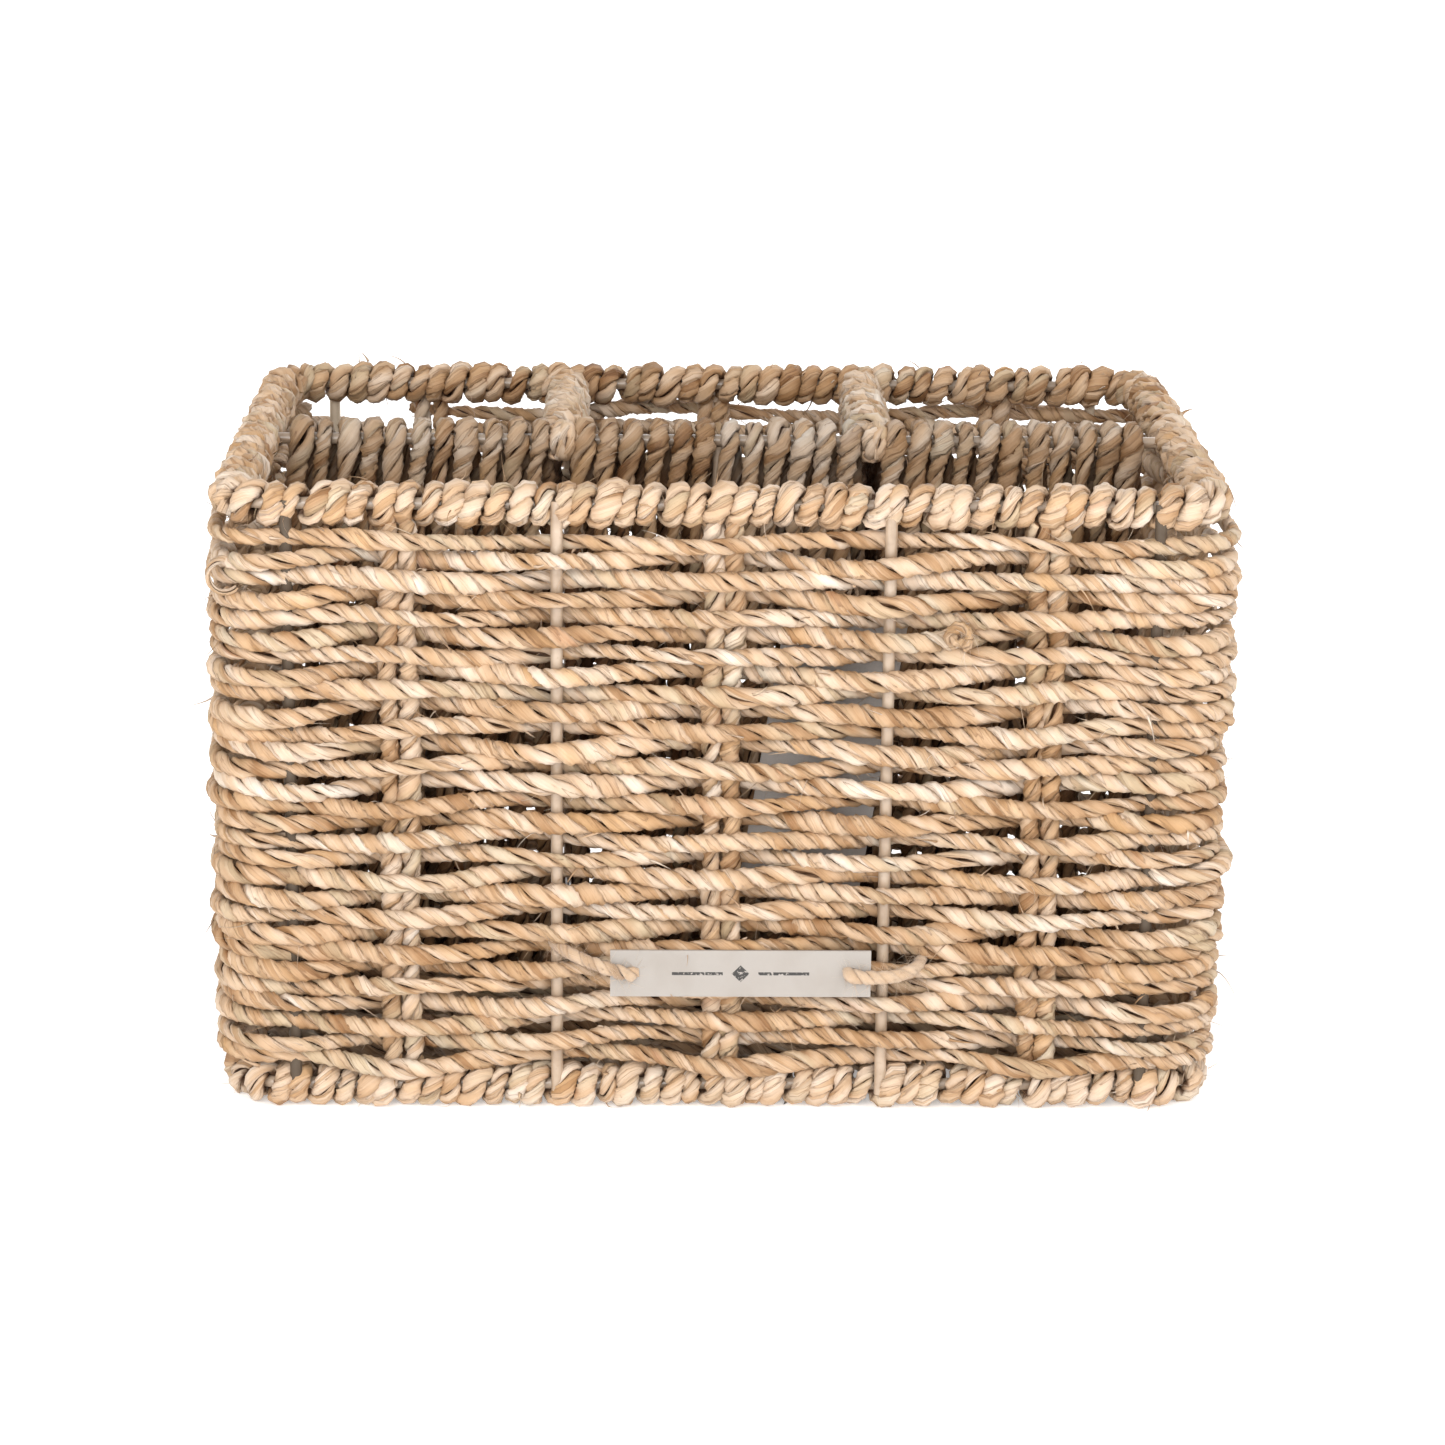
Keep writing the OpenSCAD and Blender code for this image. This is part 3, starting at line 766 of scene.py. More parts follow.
def hoopTable():
    # the hoops' middle line, walked from the front's middle towards +X and round:
    # straight stretches and quarter circles joined into one closed line with outward normals
    quarter = cornerR * math.pi / 2
    arc = np.linspace(0, math.pi / 2, 13)
    centres = ((1, -1), (1, 1), (-1, 1), (-1, -1))
    walk, places, outs = [0.0], [(0.0, -halfD)], [(0.0, -1.0)]
    gone = longHalf
    for i, (cx, cy) in enumerate(centres):
        angle = arc + (i - 1) * math.pi / 2
        nx, ny = np.cos(angle), np.sin(angle)
        walk += list(gone + arc * cornerR)
        places += list(zip(cx * longHalf + nx * cornerR, cy * shortHalf + ny * cornerR))
        outs += list(zip(nx, ny))
        gone += quarter + (2 * shortHalf if i % 2 == 0 else 2 * longHalf)
    total = gone - longHalf
    walk.append(total)
    places.append(places[0])
    outs.append(outs[0])
    return np.array(walk), np.array(places), np.array(outs), total


hoopWalk, hoopPlaces, hoopOuts, hoopLength = hoopTable()
quarterTurn = cornerR * math.pi / 2
rightMiddle = longHalf + quarterTurn + shortHalf
backMiddle = rightMiddle + shortHalf + quarterTurn + longHalf
leftMiddle = backMiddle + longHalf + quarterTurn + shortHalf


def onHoop(s):
    # place and outward way at distances s, read off the table
    w = np.mod(s, hoopLength)
    place = np.stack([np.interp(w, hoopWalk, hoopPlaces[:, i]) for i in (0, 1)], axis=-1)
    out = unit(np.stack([np.interp(w, hoopWalk, hoopOuts[:, i]) for i in (0, 1)], axis=-1))
    return place, out


postX = middle("post_front_right")[0]
uprightX = middle("front_upright_right")[0]
stakeX = middle("front_stake_right")[0]
stakeY = middle("right_stake_back")[1]
longStakes = ((-postX, True), (-stakeX, False), (-uprightX, True), (0.0, False),
              (uprightX, True), (stakeX, False), (postX, True))
shortStakes = ((-stakeY, False), (0.0, True), (stakeY, False))


def ringStakes():
    # every stake's place along the hoop, and whether it is a wire
    found = [(x, wire) for x, wire in longStakes]
    found += [(rightMiddle + y, wire) for y, wire in shortStakes]
    found += [(backMiddle + x, wire) for x, wire in longStakes]
    found += [(leftMiddle + y, wire) for y, wire in shortStakes]
    return found


stakes = ringStakes()
uprightOff = 2 * wireR  # how far outside the hoop's line the wires and the rope pairs stand
ropeOff = 2.0 * mm

postPlaces = {round(p, 6) for p in (-postX, postX, backMiddle - postX, backMiddle + postX)}


def isPost(place):
    # whether a stake's place is a corner post's
    return round(place, 6) in postPlaces


weave = {
    "count": 29,
    "radius": 2.27 * mm,
    "radiusSpread": (0.90, 1.08),
    "lay": (10.5 * mm, 14.0 * mm),
    "rope": {"uneven": 0.13, "step": 1.35 * mm},
    "pathStep": 1.2 * mm,
    "margin": 2.2 * mm,  # from the ends of the wall to its first and last courses
    "wireSwing": 3.7 * mm,
    "ropeSwing": 4.1 * mm,
    "postSwing": (4.0 * mm, -0.4 * mm),  # an outer and an inner course; the inner covers the post
    "level": (4.5 * mm, 2.0 * mm),  # half the level stretch over a rope pair and over a wire
    "cornerOut": (4.2 * mm, 6.6 * mm),
    "cornerMarks": (0.35, 0.65),  # over the corner's quarter circle
    "rowWander": 0.70 * mm,  # each course's own unevenness, and that of the wall
    "wallWander": 0.9 * mm,
    "wallWaves": ((0.5, 5), (0.45, 9), (0.35, 14)),  # share, and how many round the basket
    "waveTurn": (0.10, 0.16, 0.22),  # how far each wave moves on from course to course
    "smoothing": 5.0 * mm,
    "begin": (-0.09, 0.06),  # where on the back wall a lap may begin
    "overlap": 0.004,
    "topBegin": 0.033,  # the highest course: where it begins, how short it is, how thin
    "topShort": 0.027,
    "topRadius": 0.82,
    "tuckLength": 0.016,  # ends of a lap: over what length they tuck, how far in, how far up
    "tuckIn": 3.0 * mm,
    "tuckUp": 1.6 * mm,
    "sag": {0: 2.6 * mm, 1: 1.1 * mm},  # of the lowest two courses, at the rope pairs
    "sagWidth": 0.016,
    "groups": {"footCourses": (0, 6), "lowCourses": (6, 12), "midCourses": (12, 18),
               "highCourses": (18, 24), "topCourses": (24, 29)},
    "fibres": {"count": 420, "reach": (2 * mm, 7 * mm), "width": (0.18 * mm, 0.5 * mm),
               "lift": (0.2, 0.8), "tone": 0.6},
    "shreds": {"count": 70, "reach": (2.5 * mm, 5 * mm), "width": (0.8 * mm, 1.6 * mm),
               "lift": (0.2, 0.7), "tone": 0.6},
    "seed": 11,
}


def courseOffset(s, passesOut, bulges):
    # how far outside the hoop line a course runs: level over each stake, eased in between by
    # the mean of nine shifted copies
    sign = 1 if passesOut else -1
    marks = []
    for place, wire in stakes:
        run = uprightOff + sign * weave["wireSwing"] if wire else ropeOff - sign * weave["ropeSwing"]
        if isPost(place):
            run = uprightOff + weave["postSwing"][0 if passesOut else 1]
        flat = weave["level"][wire]
        marks += [(place - flat, run), (place + flat, run)]
    corners = (longHalf, rightMiddle + shortHalf, backMiddle + longHalf, leftMiddle + shortHalf)
    for corner, bulge in zip(corners, bulges):
        marks += [(corner + quarterTurn * share, bulge) for share in weave["cornerMarks"]]
    marks.sort()
    x, y = np.array(marks).T
    x = np.r_[x - hoopLength, x, x + hoopLength]
    y = np.r_[y, y, y]
    total = np.zeros_like(s)
    shifts = np.linspace(-1, 1, 9)
    for shift in shifts:
        total += np.interp(np.mod(s, hoopLength) + shift * weave["smoothing"], x, y)
    return total / len(shifts)


courseLow = span("front_courses")[0][2] + weave["margin"]
courseHigh = span("front_courses")[1][2] - weave["margin"]


def dips(s):
    # one at each rope pair, fading away from it as a bell curve
    near = np.zeros_like(s)
    for place, wire in stakes:
        if not wire:
            gap = np.mod(s - place + hoopLength / 2, hoopLength) - hoopLength / 2
            near += np.exp(-(gap / weave["sagWidth"]) ** 2)
    return near


def coursePath(row, rng, wall):
    # one lap: the hoop's line moved out by the course's offset, at a height that swings in slow
    # waves; a lap's ends tuck in, one upwards and one downwards
    count = weave["count"]
    isTop = row == count - 1
    height = courseLow + (courseHigh - courseLow) * row / (count - 1)
    begin = backMiddle + rng.uniform(*weave["begin"])
    lap = hoopLength + weave["overlap"]
    if isTop:  # the highest course stops at a cut end beside the back's left pair
        begin = backMiddle + stakeX + weave["topBegin"] - hoopLength
        lap = hoopLength - weave["topShort"]
    s = np.arange(begin, begin + lap, weave["pathStep"])
    outwards = (count - 1 - row) % 2 == 1
    off = courseOffset(s, outwards, rng.uniform(*weave["cornerOut"], 4))
    slow = wall["phase"] + row * wall["drift"]
    wave = sum(share * np.sin(2 * math.pi * (s / hoopLength * waves) + phase + row * turn)
               for (share, waves), phase, turn in zip(weave["wallWaves"], slow, weave["waveTurn"]))
    z = height + weave["wallWander"] * wave + weave["rowWander"] * wander(s, 0.09, rng)
    z = z - weave["sag"].get(row, 0.0) * dips(s)
    place, out = onHoop(s)
    tuck = np.clip(1 - np.minimum(s - s[0], s[-1] - s) / weave["tuckLength"], 0, 1) ** 2
    inwards = 0.0 if isTop else weave["tuckIn"]
    xy = place + out * (off - inwards * tuck)[:, None]
    z = z + weave["tuckUp"] * tuck * np.sign(s - s.mean())
    return np.column_stack([xy, z]), np.column_stack([out, np.zeros(len(s))])


def makeCourses():
    # every course a rope along its own lap, several courses to a piece
    rng = np.random.default_rng(weave["seed"])
    wall = {"phase": rng.uniform(0, 6.28, 3), "drift": rng.uniform(0.05, 0.12, 3)}
    walls = ("front_courses", "back_courses", "left_courses", "right_courses",
             "corner_courses_front_left", "corner_courses_front_right",
             "corner_courses_back_left", "corner_courses_back_right")
    for name, (first, last) in weave["groups"].items():
        tubes = []
        for row in range(first, last):
            points, side = coursePath(row, rng, wall)
            thin = weave["topRadius"] if row == weave["count"] - 1 else 1.0
            radius = thin * weave["radius"] * rng.uniform(*weave["radiusSpread"])
            lay = rng.uniform(*weave["lay"])
            tubes += ropeParts(points, side, rng, radius=radius, lay=lay, **weave["rope"])
        fibres = fibreParts(tubes, rng, **weave["fibres"])
        shreds = fibreParts(tubes, rng, **weave["shreds"])
        piece = buildPiece(name, tubes + [fibres, shreds], seagrass)
        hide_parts(*walls)


makeCourses()
print("stage: courses")


pair = {
    "apart": 2.35 * mm,  # from the pair's middle to each rope's
    "inWinding": 0.45,  # how far into the rim and the foot, over their radius
    "pathStep": 1.5 * mm,
    "sway": (0.35 * mm, 0.05),  # along the wall, over what length
    "lean": (0.3 * mm, 0.03),  # and out of it
    "rope": {"radius": 2.45 * mm, "lay": 12.0 * mm, "tone": 0.45, "step": 1.5 * mm, "around": 10},
    "seed": 23,
}


def makeStakes():
    # upright ropes in pairs from the foot's winding to the rim's, each a little off its line
    rng = np.random.default_rng(pair["seed"])
    walls = (("front", 0.0, ("left", "middle", "right"), (-stakeX, 0.0, stakeX)),
             ("right", rightMiddle, ("front", "back"), (-stakeY, stakeY)),
             ("back", backMiddle, ("right", "middle", "left"), (-stakeX, 0.0, stakeX)),
             ("left", leftMiddle, ("back", "front"), (-stakeY, stakeY)))
    sway, swayLength = pair["sway"]
    lean, leanLength = pair["lean"]
    inside = wrapR * pair["inWinding"]
    for wall, wallMiddle, names, places in walls:
        for name, place in zip(names, places):
            tubes = []
            for side in (-1, 1):
                z = np.arange(footZ + inside, rimZ - inside, pair["pathStep"])
                s = wallMiddle + place + side * pair["apart"] + sway * wander(z, swayLength, rng)
                spot, out = onHoop(s)
                xy = spot + out * (ropeOff + lean * wander(z, leanLength, rng))[:, None]
                tubes += ropeParts(np.column_stack([xy, z]), np.column_stack([out, 0 * z]), rng,
                                   **pair["rope"])
            piece = buildPiece(f"{wall}Stake{name.capitalize()}", tubes, seagrass)
            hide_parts(f"{wall}_stake_{name}")


makeStakes()
print("stage: rope stakes")


winding = {
    "pitch": 5.35 * mm,
    "reach": 3.3 * mm,
    "part": {"rim": 0.4 * mm, "foot": 2.6 * mm},  # how far the turns stand apart at an upright
    "under": 0.14,  # of a turn, each side of the upright, that passes under the hoop
    "pointsPerTurn": 26,
    "easing": 9,  # points over which a change of pitch is spread
    "angleWander": (0.25, 9.0),  # how far, and over how many turns
    "placeWander": (0.75 * mm, 2.0),
    "reachWander": (0.08, 1.3),
    "rope": {"radius": 2.55 * mm, "lay": 9.2 * mm, "flatten": 0.88, "step": 1.25 * mm,
             "uneven": 0.15, "layDrift": 2.2, "shade": 1.0},
    "tone": {"rim": 0.50, "foot": 0.58},
    "backTone": -0.14,
    "backFrom": (0.2, 0.6),  # over half the depth: where it begins, and over what it grows
    "fibres": {"count": 420, "reach": (2 * mm, 6 * mm), "width": (0.15 * mm, 0.5 * mm),
               "lift": (0.3, 1.1), "tone": 0.55},
    "shreds": {"count": 70, "reach": (2 * mm, 4.5 * mm), "width": (0.8 * mm, 1.6 * mm),
               "lift": (0.3, 0.8), "tone": 0.5},
    "seed": {"rim": 31, "foot": 36},
}


def windingRun(part):
    # turns counted round the hoop: whole turns fall on the uprights, where the rope passes under
    # the hoop and parts a little, and the rest is shared evenly; the corner posts stay covered
    knots = sorted(place for place, wire in stakes if wire and not isPost(place))
    marks, turns, count = [], [], 0
    for i, knot in enumerate(knots + [knots[0] + hoopLength]):
        if i:
            room = knot - knots[i - 1] - part
            count += max(1, round(room / winding["pitch"]))
        marks += [knot - part / 2, knot + part / 2]
        turns += [count - winding["under"], count + winding["under"]]
    return np.array(marks), np.array(turns)


def windingPath(height, part, seed):
    # a helix round the hoop's wire, rising on the outer side as it goes forward
    rng = np.random.default_rng(seed)
    marks, turns = windingRun(part)
    t = np.arange(turns[0], turns[-1], 1 / winding["pointsPerTurn"])
    s = np.interp(t, turns, marks)
    kernel = np.hanning(winding["easing"]) / np.hanning(winding["easing"]).sum()
    edge = winding["easing"] // 2
    s[edge:-edge] = np.convolve(s, kernel, mode="valid")
    shares = (winding[key] for key in ("angleWander", "placeWander", "reachWander"))
    angle, along, away = (share * wander(t, length, rng) for share, length in shares)
    angle = 2 * math.pi * t + angle
    place, out = onHoop(s + along)
    reach = winding["reach"] * (1 + away)
    radial = np.column_stack([out * np.sin(angle)[:, None], -np.cos(angle)])
    points = np.column_stack([place, np.full(len(s), height)]) + radial * reach[:, None]
    return points, radial


def makeWinding(prefix, height):
    # rope along the helix, darker towards the back
    seed = winding["seed"][prefix]
    rng = np.random.default_rng(seed + 1)
    points, radial = windingPath(height, winding["part"][prefix], seed)
    start, over = winding["backFrom"]
    backness = np.clip((points[:, 1] / halfD - start) / over, 0, 1)
    tubes = ropeParts(points, radial, rng, tone=winding["tone"][prefix],
                      shiftTone=winding["backTone"] * backness, **winding["rope"])
    fibres = fibreParts(tubes, rng, **winding["fibres"])
    shreds = fibreParts(tubes, rng, **winding["shreds"])
    piece = buildPiece(f"{prefix}Winding", tubes + [fibres, shreds], seagrass)
    parts = ("front", "right", "back", "left", "corners")
    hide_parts(*(f"{prefix}_wrap_{part}" for part in parts))


makeWinding("rim", rimZ)
makeWinding("foot", footZ)
print("stage: hoop windings")


turning = {
    "radius": 1.98 * mm,
    "reach": 3.6 * mm,
    "step": 0.0045,  # of a turn
    "topSwell": (0.44, 0.006),  # fatter over the rail, and over what height
    "leanSetsIn": (0.009, 0.012),  # over what height, below the rail and above the foot
    "wander": (1.6, 0.5, 0.9),  # lengths in turns: in the middle, all over, and away from it
    "allOver": 0.4,
    "away": 0.12,
    "seed": 47,
}


def rackTurn(t, low, high, reach):
    # one turn of a racetrack: up the back, over the rail, down the front and under the foot rail
    straight = high - low
    arc = math.pi * reach
    gone = np.mod(t, 1.0) * 2 * (straight + arc)
    up = gone < straight
    over = (gone >= straight) & (gone < straight + arc)
    down = (gone >= straight + arc) & (gone < 2 * straight + arc)
    top = (gone - straight) / reach
    bottom = (gone - 2 * straight - arc) / reach
    ny = np.select([up, over, down], [1.0, np.cos(top), -1.0], -np.cos(bottom))
    nz = np.select([up, over, down], [0.0, np.sin(top), 0.0], -np.sin(bottom))
    z = np.select([up, over, down],
                  [low + gone, high + reach * np.sin(top), high + straight + arc - gone],
                  low - reach * np.sin(bottom))
    return reach * ny, z, ny, nz


def turnsPath(start, end, low, high, rng, wound):
    # turns side by side from start to end; below the rail the front strands drift one way and
    # the rear ones the other, each a little off its straight line
    count = int(round((end - start) / wound["pitch"]))
    t = np.arange(0, count, turning["step"])
    along = start + (end - start) * t / count
    across, z, nAcross, nz = rackTurn(t, low, high, turning["reach"])
    below, above = turning["leanSetsIn"]
    hang = (1 - np.exp(-np.clip(high - z, 0, 1) / below)) * (1 - np.exp(-np.clip(z - low, 0, 1) / above))
    belly = np.sin(math.pi * np.clip((z - low) / (high - low), 0, 1))
    inMiddle, allOver, away = (wander(t, length, rng) for length in turning["wander"])
    along = along + wound["lean"] * hang * nAcross
    along = along + wound["slack"] * (belly * inMiddle + turning["allOver"] * allOver)
    across = across * (1 + turning["away"] * belly * away)
    fatter, height = turning["topSwell"]
    swell = 1 + fatter * np.exp(-np.abs(z - high) / height)
    return along, across, z, nAcross, nz, swell


divider = {
    "pitch": 6.4 * mm,
    "slack": 1.0 * mm,
    "lean": 2.8 * mm,
    "edge": 2.0 * mm,
    "besideCross": 2.4 * mm,  # from a cross rail's middle to the first turn
    "besideUpright": -0.2 * mm,  # below zero, the turns close over the upright
    "rope": {"lay": 12.5 * mm, "step": 1.6 * mm, "around": 10, "tone": 0.56, "flatten": 0.90,
             "uneven": 0.15, "layDrift": 1.8, "shade": 0.5},
    "lowShade": (-0.32, 0.018),  # painted shade: how much darker lower down, deeper in the basket, and over what height
    "fibres": {"count": 90, "reach": (2 * mm, 6 * mm), "width": (0.15 * mm, 0.45 * mm),
               "lift": (0.3, 1.0), "tone": 0.5},
}


def makeDividerTurns():
    # turns over the long rail in four runs, parted by the cross rails and the upright
    rng = np.random.default_rng(turning["seed"])
    edge = span("divider_turns")[1][0] - divider["edge"]
    crossX = middle("cross_rail_right")[0]
    railY = middle("divider_rail")[1]
    gap, beside = divider["besideCross"], divider["besideUpright"]
    runs = ((-edge, -crossX - gap), (-crossX + gap, -beside),
            (beside, crossX - gap), (crossX + gap, edge))
    darker, height = divider["lowShade"]
    for i, (start, end) in enumerate(runs):
        x, y, z, ny, nz, swell = turnsPath(start, end, footZ, rimZ, rng, divider)
        # painted shade: the lower a turn hangs inside the basket, the darker its tone
        shift = darker * (1 - np.exp(-np.clip(rimZ - z, 0, 1) / height))
        tubes = ropeParts(np.column_stack([x, y + railY, z]), np.column_stack([0 * ny, ny, nz]), rng,
                          radius=turning["radius"], swell=swell, shiftTone=shift, **divider["rope"])
        tubes.append(fibreParts(tubes, rng, **divider["fibres"]))
        # painted shade: the turns take the darker copy of the seagrass
        piece = buildPiece(f"dividerTurns{i + 1}", tubes, innerSeagrassShaded)
        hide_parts("divider_turns")


cross = {
    "pitch": 5.6 * mm,
    "slack": 0.8 * mm,
    "lean": 1.8 * mm,
    "ends": (1.6 * mm, 1.0 * mm),  # from the CAD turns' front and back ends
    "rope": {"lay": 9.5 * mm, "step": 1.4 * mm, "around": 10, "tone": 0.52, "flatten": 0.95,
             "uneven": 0.14, "shade": 1.0},
    "fibres": {"count": 140, "reach": (2 * mm, 5 * mm), "width": (0.15 * mm, 0.45 * mm),
               "lift": (0.3, 1.0), "tone": 0.5},
}


def makeCrossTurns():
    # turns over each cross rail and a lashing where it meets the long one
    rng = np.random.default_rng(turning["seed"] + 1)
    baseZ = middle("base_wire_left")[2]
    front, back = cross["ends"]
    for side in ("left", "right"):
        node = f"cross_turns_{side}"
        low, high = span(node)
        y, x, z, nx, nz, swell = turnsPath(low[1] + front, high[1] + back, baseZ, rimZ, rng, cross)
        crossX = middle(node)[0]
        tubes = ropeParts(np.column_stack([crossX + x, y, z]), np.column_stack([nx, 0 * nx, nz]), rng,
                          radius=turning["radius"], swell=0.5 + 0.5 * swell, **cross["rope"])
        tubes += lashing((crossX, middle("divider_rail")[1], rimZ), rng)
        tubes.append(fibreParts(tubes, rng, **cross["fibres"]))
        piece = buildPiece(f"crossTurns{side.capitalize()}", tubes, seagrass)
        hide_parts(node)


lash = {
    "turned": (-0.75, -0.05, 0.65),  # radians round the upright axis, one loop each
    "sweep": (-2.2, 4.6, 60),  # radians from and to, how many points
    "reach": 3.5 * mm,
    "uneven": 0.05,
    "spread": 0.5 * mm,  # sideways, for each radian of the loop
    "forward": (0.0, 0.8 * mm, 0.0),
    "rope": {"radius": 2.2 * mm, "lay": 10.5 * mm, "step": 1.3 * mm, "around": 10,
             "flatten": 0.85, "tone": 0.58},
}


def lashing(centre, rng):
    # upright loops over a joint of two rails, each turned a little round the upright axis
    found = []
    start, end, count = lash["sweep"]
    a = np.linspace(start, end, count)
    for turn in lash["turned"]:
        reach = lash["reach"] * (1 + lash["uneven"] * np.sin(2 * a + turn))
        flat = np.array((math.sin(turn), math.cos(turn), 0.0))
        radial = np.cos(a)[:, None] * flat + np.sin(a)[:, None] * (0.0, 0.0, 1.0)
        side = np.cross(flat, (0.0, 0.0, 1.0)) * (a[:, None] - (start + end) / 2) * lash["spread"]
        line = np.array(centre) - lash["forward"] + radial * reach[:, None] + side
        found += ropeParts(line, radial, rng, **lash["rope"])
    return found


makeDividerTurns()
makeCrossTurns()
print("stage: dividers")


mat = {
    "pitch": 4.85 * mm,
    "ends": (2.0 * mm, 1.0 * mm),  # first and last rope, from the CAD mat's front and back
    "past": (1.5 * mm, 1.0 * mm),  # how far the ropes run past the mat, across and along
    "swing": 2.1 * mm,  # over and under the warps
    "apart": 2.1 * mm,  # from a pair's middle to each rope's
    "pathStep": 1.5 * mm,
    "weft": {"radius": 2.4 * mm, "step": 2.1 * mm, "around": 8, "lay": 14.0 * mm, "tone": 0.5},
    "warp": {"radius": 2.0 * mm, "step": 2.0 * mm, "around": 8, "tone": 0.5},
    "sway": ((0.3 * mm, 0.05), (0.2 * mm, 0.04)),  # of wefts and warps, over what length
    "seed": 61,
}


def makeFloor():
    # ropes from side to side, over and under the base wires and pairs in turn: the height is a
    # cosine that changes sign from warp to warp
    rng = np.random.default_rng(mat["seed"])
    crossX = middle("base_wire_right")[0]
    warps = np.array([-stakeX, -crossX, 0.0, crossX, stakeX])
    (weftSway, weftLength), (warpSway, warpLength) = mat["sway"]
    pastX, pastY = mat["past"]
    for name in ("front", "left", "middle", "right"):
        low, high = span(f"floor_mat_{name}")
        level = (low[2] + high[2]) / 2
        tubes = []
        for i, y in enumerate(np.arange(low[1] + mat["ends"][0], high[1] - mat["ends"][1], mat["pitch"])):
            x = np.arange(low[0] - pastX, high[0] + pastX, mat["pathStep"])
            turns = np.interp(x, warps, np.arange(len(warps)), left=-0.3, right=4.3)
            z = level + (1 if i % 2 else -1) * mat["swing"] * np.cos(math.pi * turns)
            line = np.column_stack([x, y + weftSway * wander(x, weftLength, rng), z])
            tubes += ropeParts(line, np.tile((0.0, 0.0, 1.0), (len(x), 1)), rng, **mat["weft"])
        for place in (w for w in (-stakeX, 0.0, stakeX) if low[0] < w < high[0]):
            for side in (-1, 1):
                y = np.arange(low[1] - pastY, high[1] + pastY, mat["pathStep"])
                x = place + side * mat["apart"] + warpSway * wander(y, warpLength, rng)
                line = np.column_stack([x, y, np.full(len(y), level)])
                tubes += ropeParts(line, np.tile((0.0, 0.0, 1.0), (len(y), 1)), rng, **mat["warp"])
        # painted shade: the floor takes the darker copy of the seagrass
        piece = buildPiece(f"floor{name.capitalize()}", tubes, innerSeagrassShaded)
        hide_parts(f"floor_mat_{name}")


makeFloor()
print("stage: floor")


tie = {
    # from the hole outwards: along, towards the back, up, in millimetres
    "left": ((-0.2, 3.4, -0.2), (0.0, 0.6, 0.0), (1.8, -0.5, 0.3), (6.0, -0.3, 1.6), (11.0, 0.6, 3.1),
             (15.5, 2.6, 4.6), (18.5, 6.0, 5.6), (20.0, 10.0, 6.2)),
    "right": ((-0.2, 3.4, 0.2), (0.0, 0.6, 0.1), (1.8, -0.6, -0.1), (6.0, -0.4, -0.6), (11.0, 0.4, -0.5),
              (15.0, 2.2, 0.2), (17.5, 5.5, 0.8), (18.8, 9.5, 1.2)),
    "rope": {"radius": 1.65 * mm, "lay": 6.5 * mm, "step": 0.6 * mm, "around": 10, "uneven": 0.06,
             "tone": 0.5, "layDrift": 0.3},
    "fibres": {"count": 230, "reach": (1.5 * mm, 6 * mm), "width": (0.06 * mm, 0.14 * mm),
               "lift": (0.3, 1.3), "tone": 0.75},
    "seed": 83,
}


def smoothLine(points, count=60):
    # a natural-looking line through the points: a Catmull-Rom curve
    p = np.array(points)
    p = np.vstack([2 * p[0] - p[1], p, 2 * p[-1] - p[-2]])
    t = np.linspace(0, len(p) - 3 - 1e-9, count)
    i = t.astype(int)
    f = (t - i)[:, None]
    a, b, c, d = p[i], p[i + 1], p[i + 2], p[i + 3]
    square = (2 * a - 5 * b + 4 * c - d) * f ** 2
    cube = (3 * b - a - 3 * c + d) * f ** 3
    return 0.5 * (2 * b + (c - a) * f + square + cube)


def makeTies():
    # twine on a smooth line out of each of the label's holes and back through the weave
    rng = np.random.default_rng(tie["seed"])
    for side, sign in (("left", -1), ("right", 1)):
        node = f"label_tie_{side}"
        low, high = span(node)
        hole = np.array([high[0] if sign < 0 else low[0], (low[1] + high[1]) / 2, (low[2] + high[2]) / 2])
        line = hole + smoothLine(tie[side]) * (sign * mm, mm, mm)
        up = np.tile((0.0, -1.0, 0.0), (len(line), 1))
        tubes = ropeParts(line, up, rng, **tie["rope"])
        tubes.append(fibreParts(tubes, rng, **tie["fibres"]))
        piece = buildPiece(f"tie{side.capitalize()}", tubes, twine)
        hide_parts(node)


thread = {
    "from": (14 * mm, 4 * mm),  # in from the card's right end, down from its top
    # each of two strands: sideways, towards the back, up, in millimetres
    "line": ((0, 0.3, 0), (0.6, -0.8, 2), (1.0, -2.6, 6), (0.5, -5.0, 9), (0, -8.0, 10)),
    "rope": {"radius": 0.5 * mm, "lay": 3 * mm, "step": 0.6 * mm, "around": 6, "uneven": 0.05},
    "seed": 89,
}


def makeCardThread():
    # a thin doubled thread from the card's top corner up to the weave
    rng = np.random.default_rng(thread["seed"])
    low, high = span("tag_card")
    inwards, down = thread["from"]
    top = np.array([high[0] - inwards, low[1], high[2] - down])
    tubes = []
    for side in (-1, 1):
        line = top + smoothLine(np.array(thread["line"]) * (side, 1, 1)) * mm
        up = np.tile((1.0, 0.0, 0.0), (len(line), 1))
        tubes += ropeParts(line, up, rng, **thread["rope"])
    piece = buildPiece("cardThread", tubes, twine)


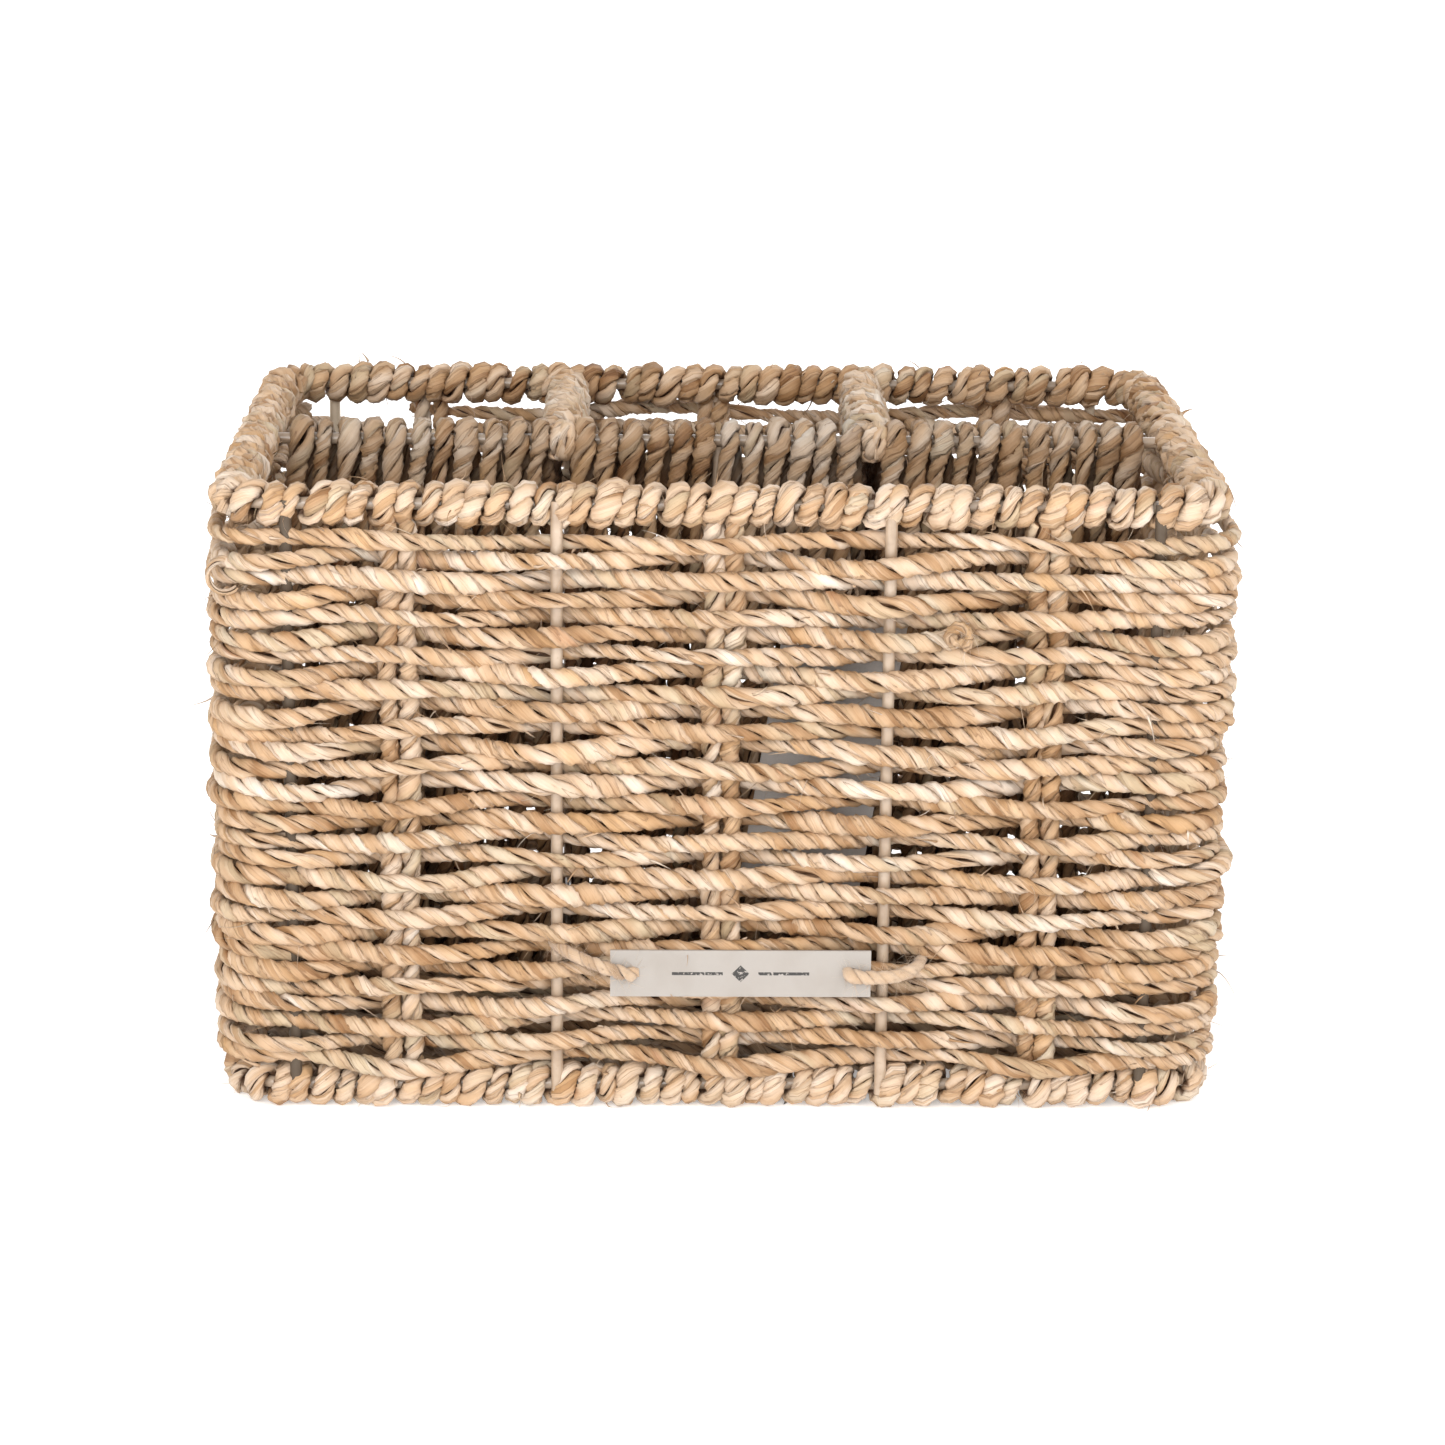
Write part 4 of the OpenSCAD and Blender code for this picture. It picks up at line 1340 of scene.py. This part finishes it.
looseEnd = {
    "curl": {
        "place": (56.5 * mm, -0.4 * mm, -30.5 * mm),  # along, from the front wall, from the rim
        "sweep": (0.0, 7.4, 60),  # from, to, how many points
        "spiral": (0.5 * mm, 0.36 * mm),  # from the middle, and for each radian
        "depth": 0.22 * mm,
        "rope": {"radius": 1.55 * mm, "lay": 9.0 * mm, "step": 1.0 * mm, "around": 10,
                 "uneven": 0.15, "tone": 0.60},
    },
    "leaf": {
        "place": (7.6 * mm, -2.6 * mm, -17.5 * mm),  # from the left wall, the hoop's front, the rim
        "sweep": (-2.4, 2.4, 40),
        "size": (4.0 * mm, 1.2 * mm, 3.8 * mm),
        "rope": {"radius": 1.0 * mm, "lay": 22 * mm, "step": 0.9 * mm, "around": 8, "uneven": 0.25},
    },
    "fibres": {"count": 40, "reach": (2 * mm, 6 * mm), "width": (0.15 * mm, 0.4 * mm),
               "lift": (0.3, 1.0), "tone": 0.6},
    "seed": 97,
}


def makeLooseEnds():
    # a rope's end curled on the front, as a spiral whose radius grows with its angle, and a leaf
    # that springs out at the left edge, as most of an oval
    rng = np.random.default_rng(looseEnd["seed"])
    curl, leaf = looseEnd["curl"], looseEnd["leaf"]
    a = np.linspace(*curl["sweep"])
    start, growth = curl["spiral"]
    spiral = start + growth * a
    place = np.array(curl["place"]) + (0.0, span("front_courses")[0][1], rimZ)
    line = place + np.column_stack([spiral * np.cos(a), curl["depth"] * a, -spiral * np.sin(a)])
    tubes = ropeParts(line, np.tile((0.0, -1.0, 0.0), (len(line), 1)), rng, **curl["rope"])
    a = np.linspace(*leaf["sweep"])
    place = np.array(leaf["place"]) + (span("left_courses")[0][0], -halfD, rimZ)
    line = place + np.column_stack([-np.cos(a), np.sin(a), np.sin(a)]) * leaf["size"]
    sprung = ropeParts(line, np.tile((0.0, 1.0, 0.0), (len(line), 1)), rng, **leaf["rope"])
    fibres = fibreParts(tubes, rng, **looseEnd["fibres"])
    piece = buildPiece("looseEnds", tubes + sprung + [fibres], seagrass)


makeTies()
makeCardThread()
makeLooseEnds()
print("stage: ties")


def finishNodes():
    # the wires, the label and the card keep the frame's own shapes and get their materials
    for name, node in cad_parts.items():
        # painted shade: the front posts take the far darker copy of the wire paint
        if name.startswith("post_front"):
            look = postPaintShaded
        elif any(word in name for word in ("hoop", "rail", "upright", "base_wire")):
            look = wirePaint
        elif name == "label_strip":
            look = labelIvory
        elif name == "tag_card":
            look = cardPaper
        else:
            continue
        node.data.materials.clear()
        node.data.materials.append(look)


finishNodes()
print("stage: wires, label and card")
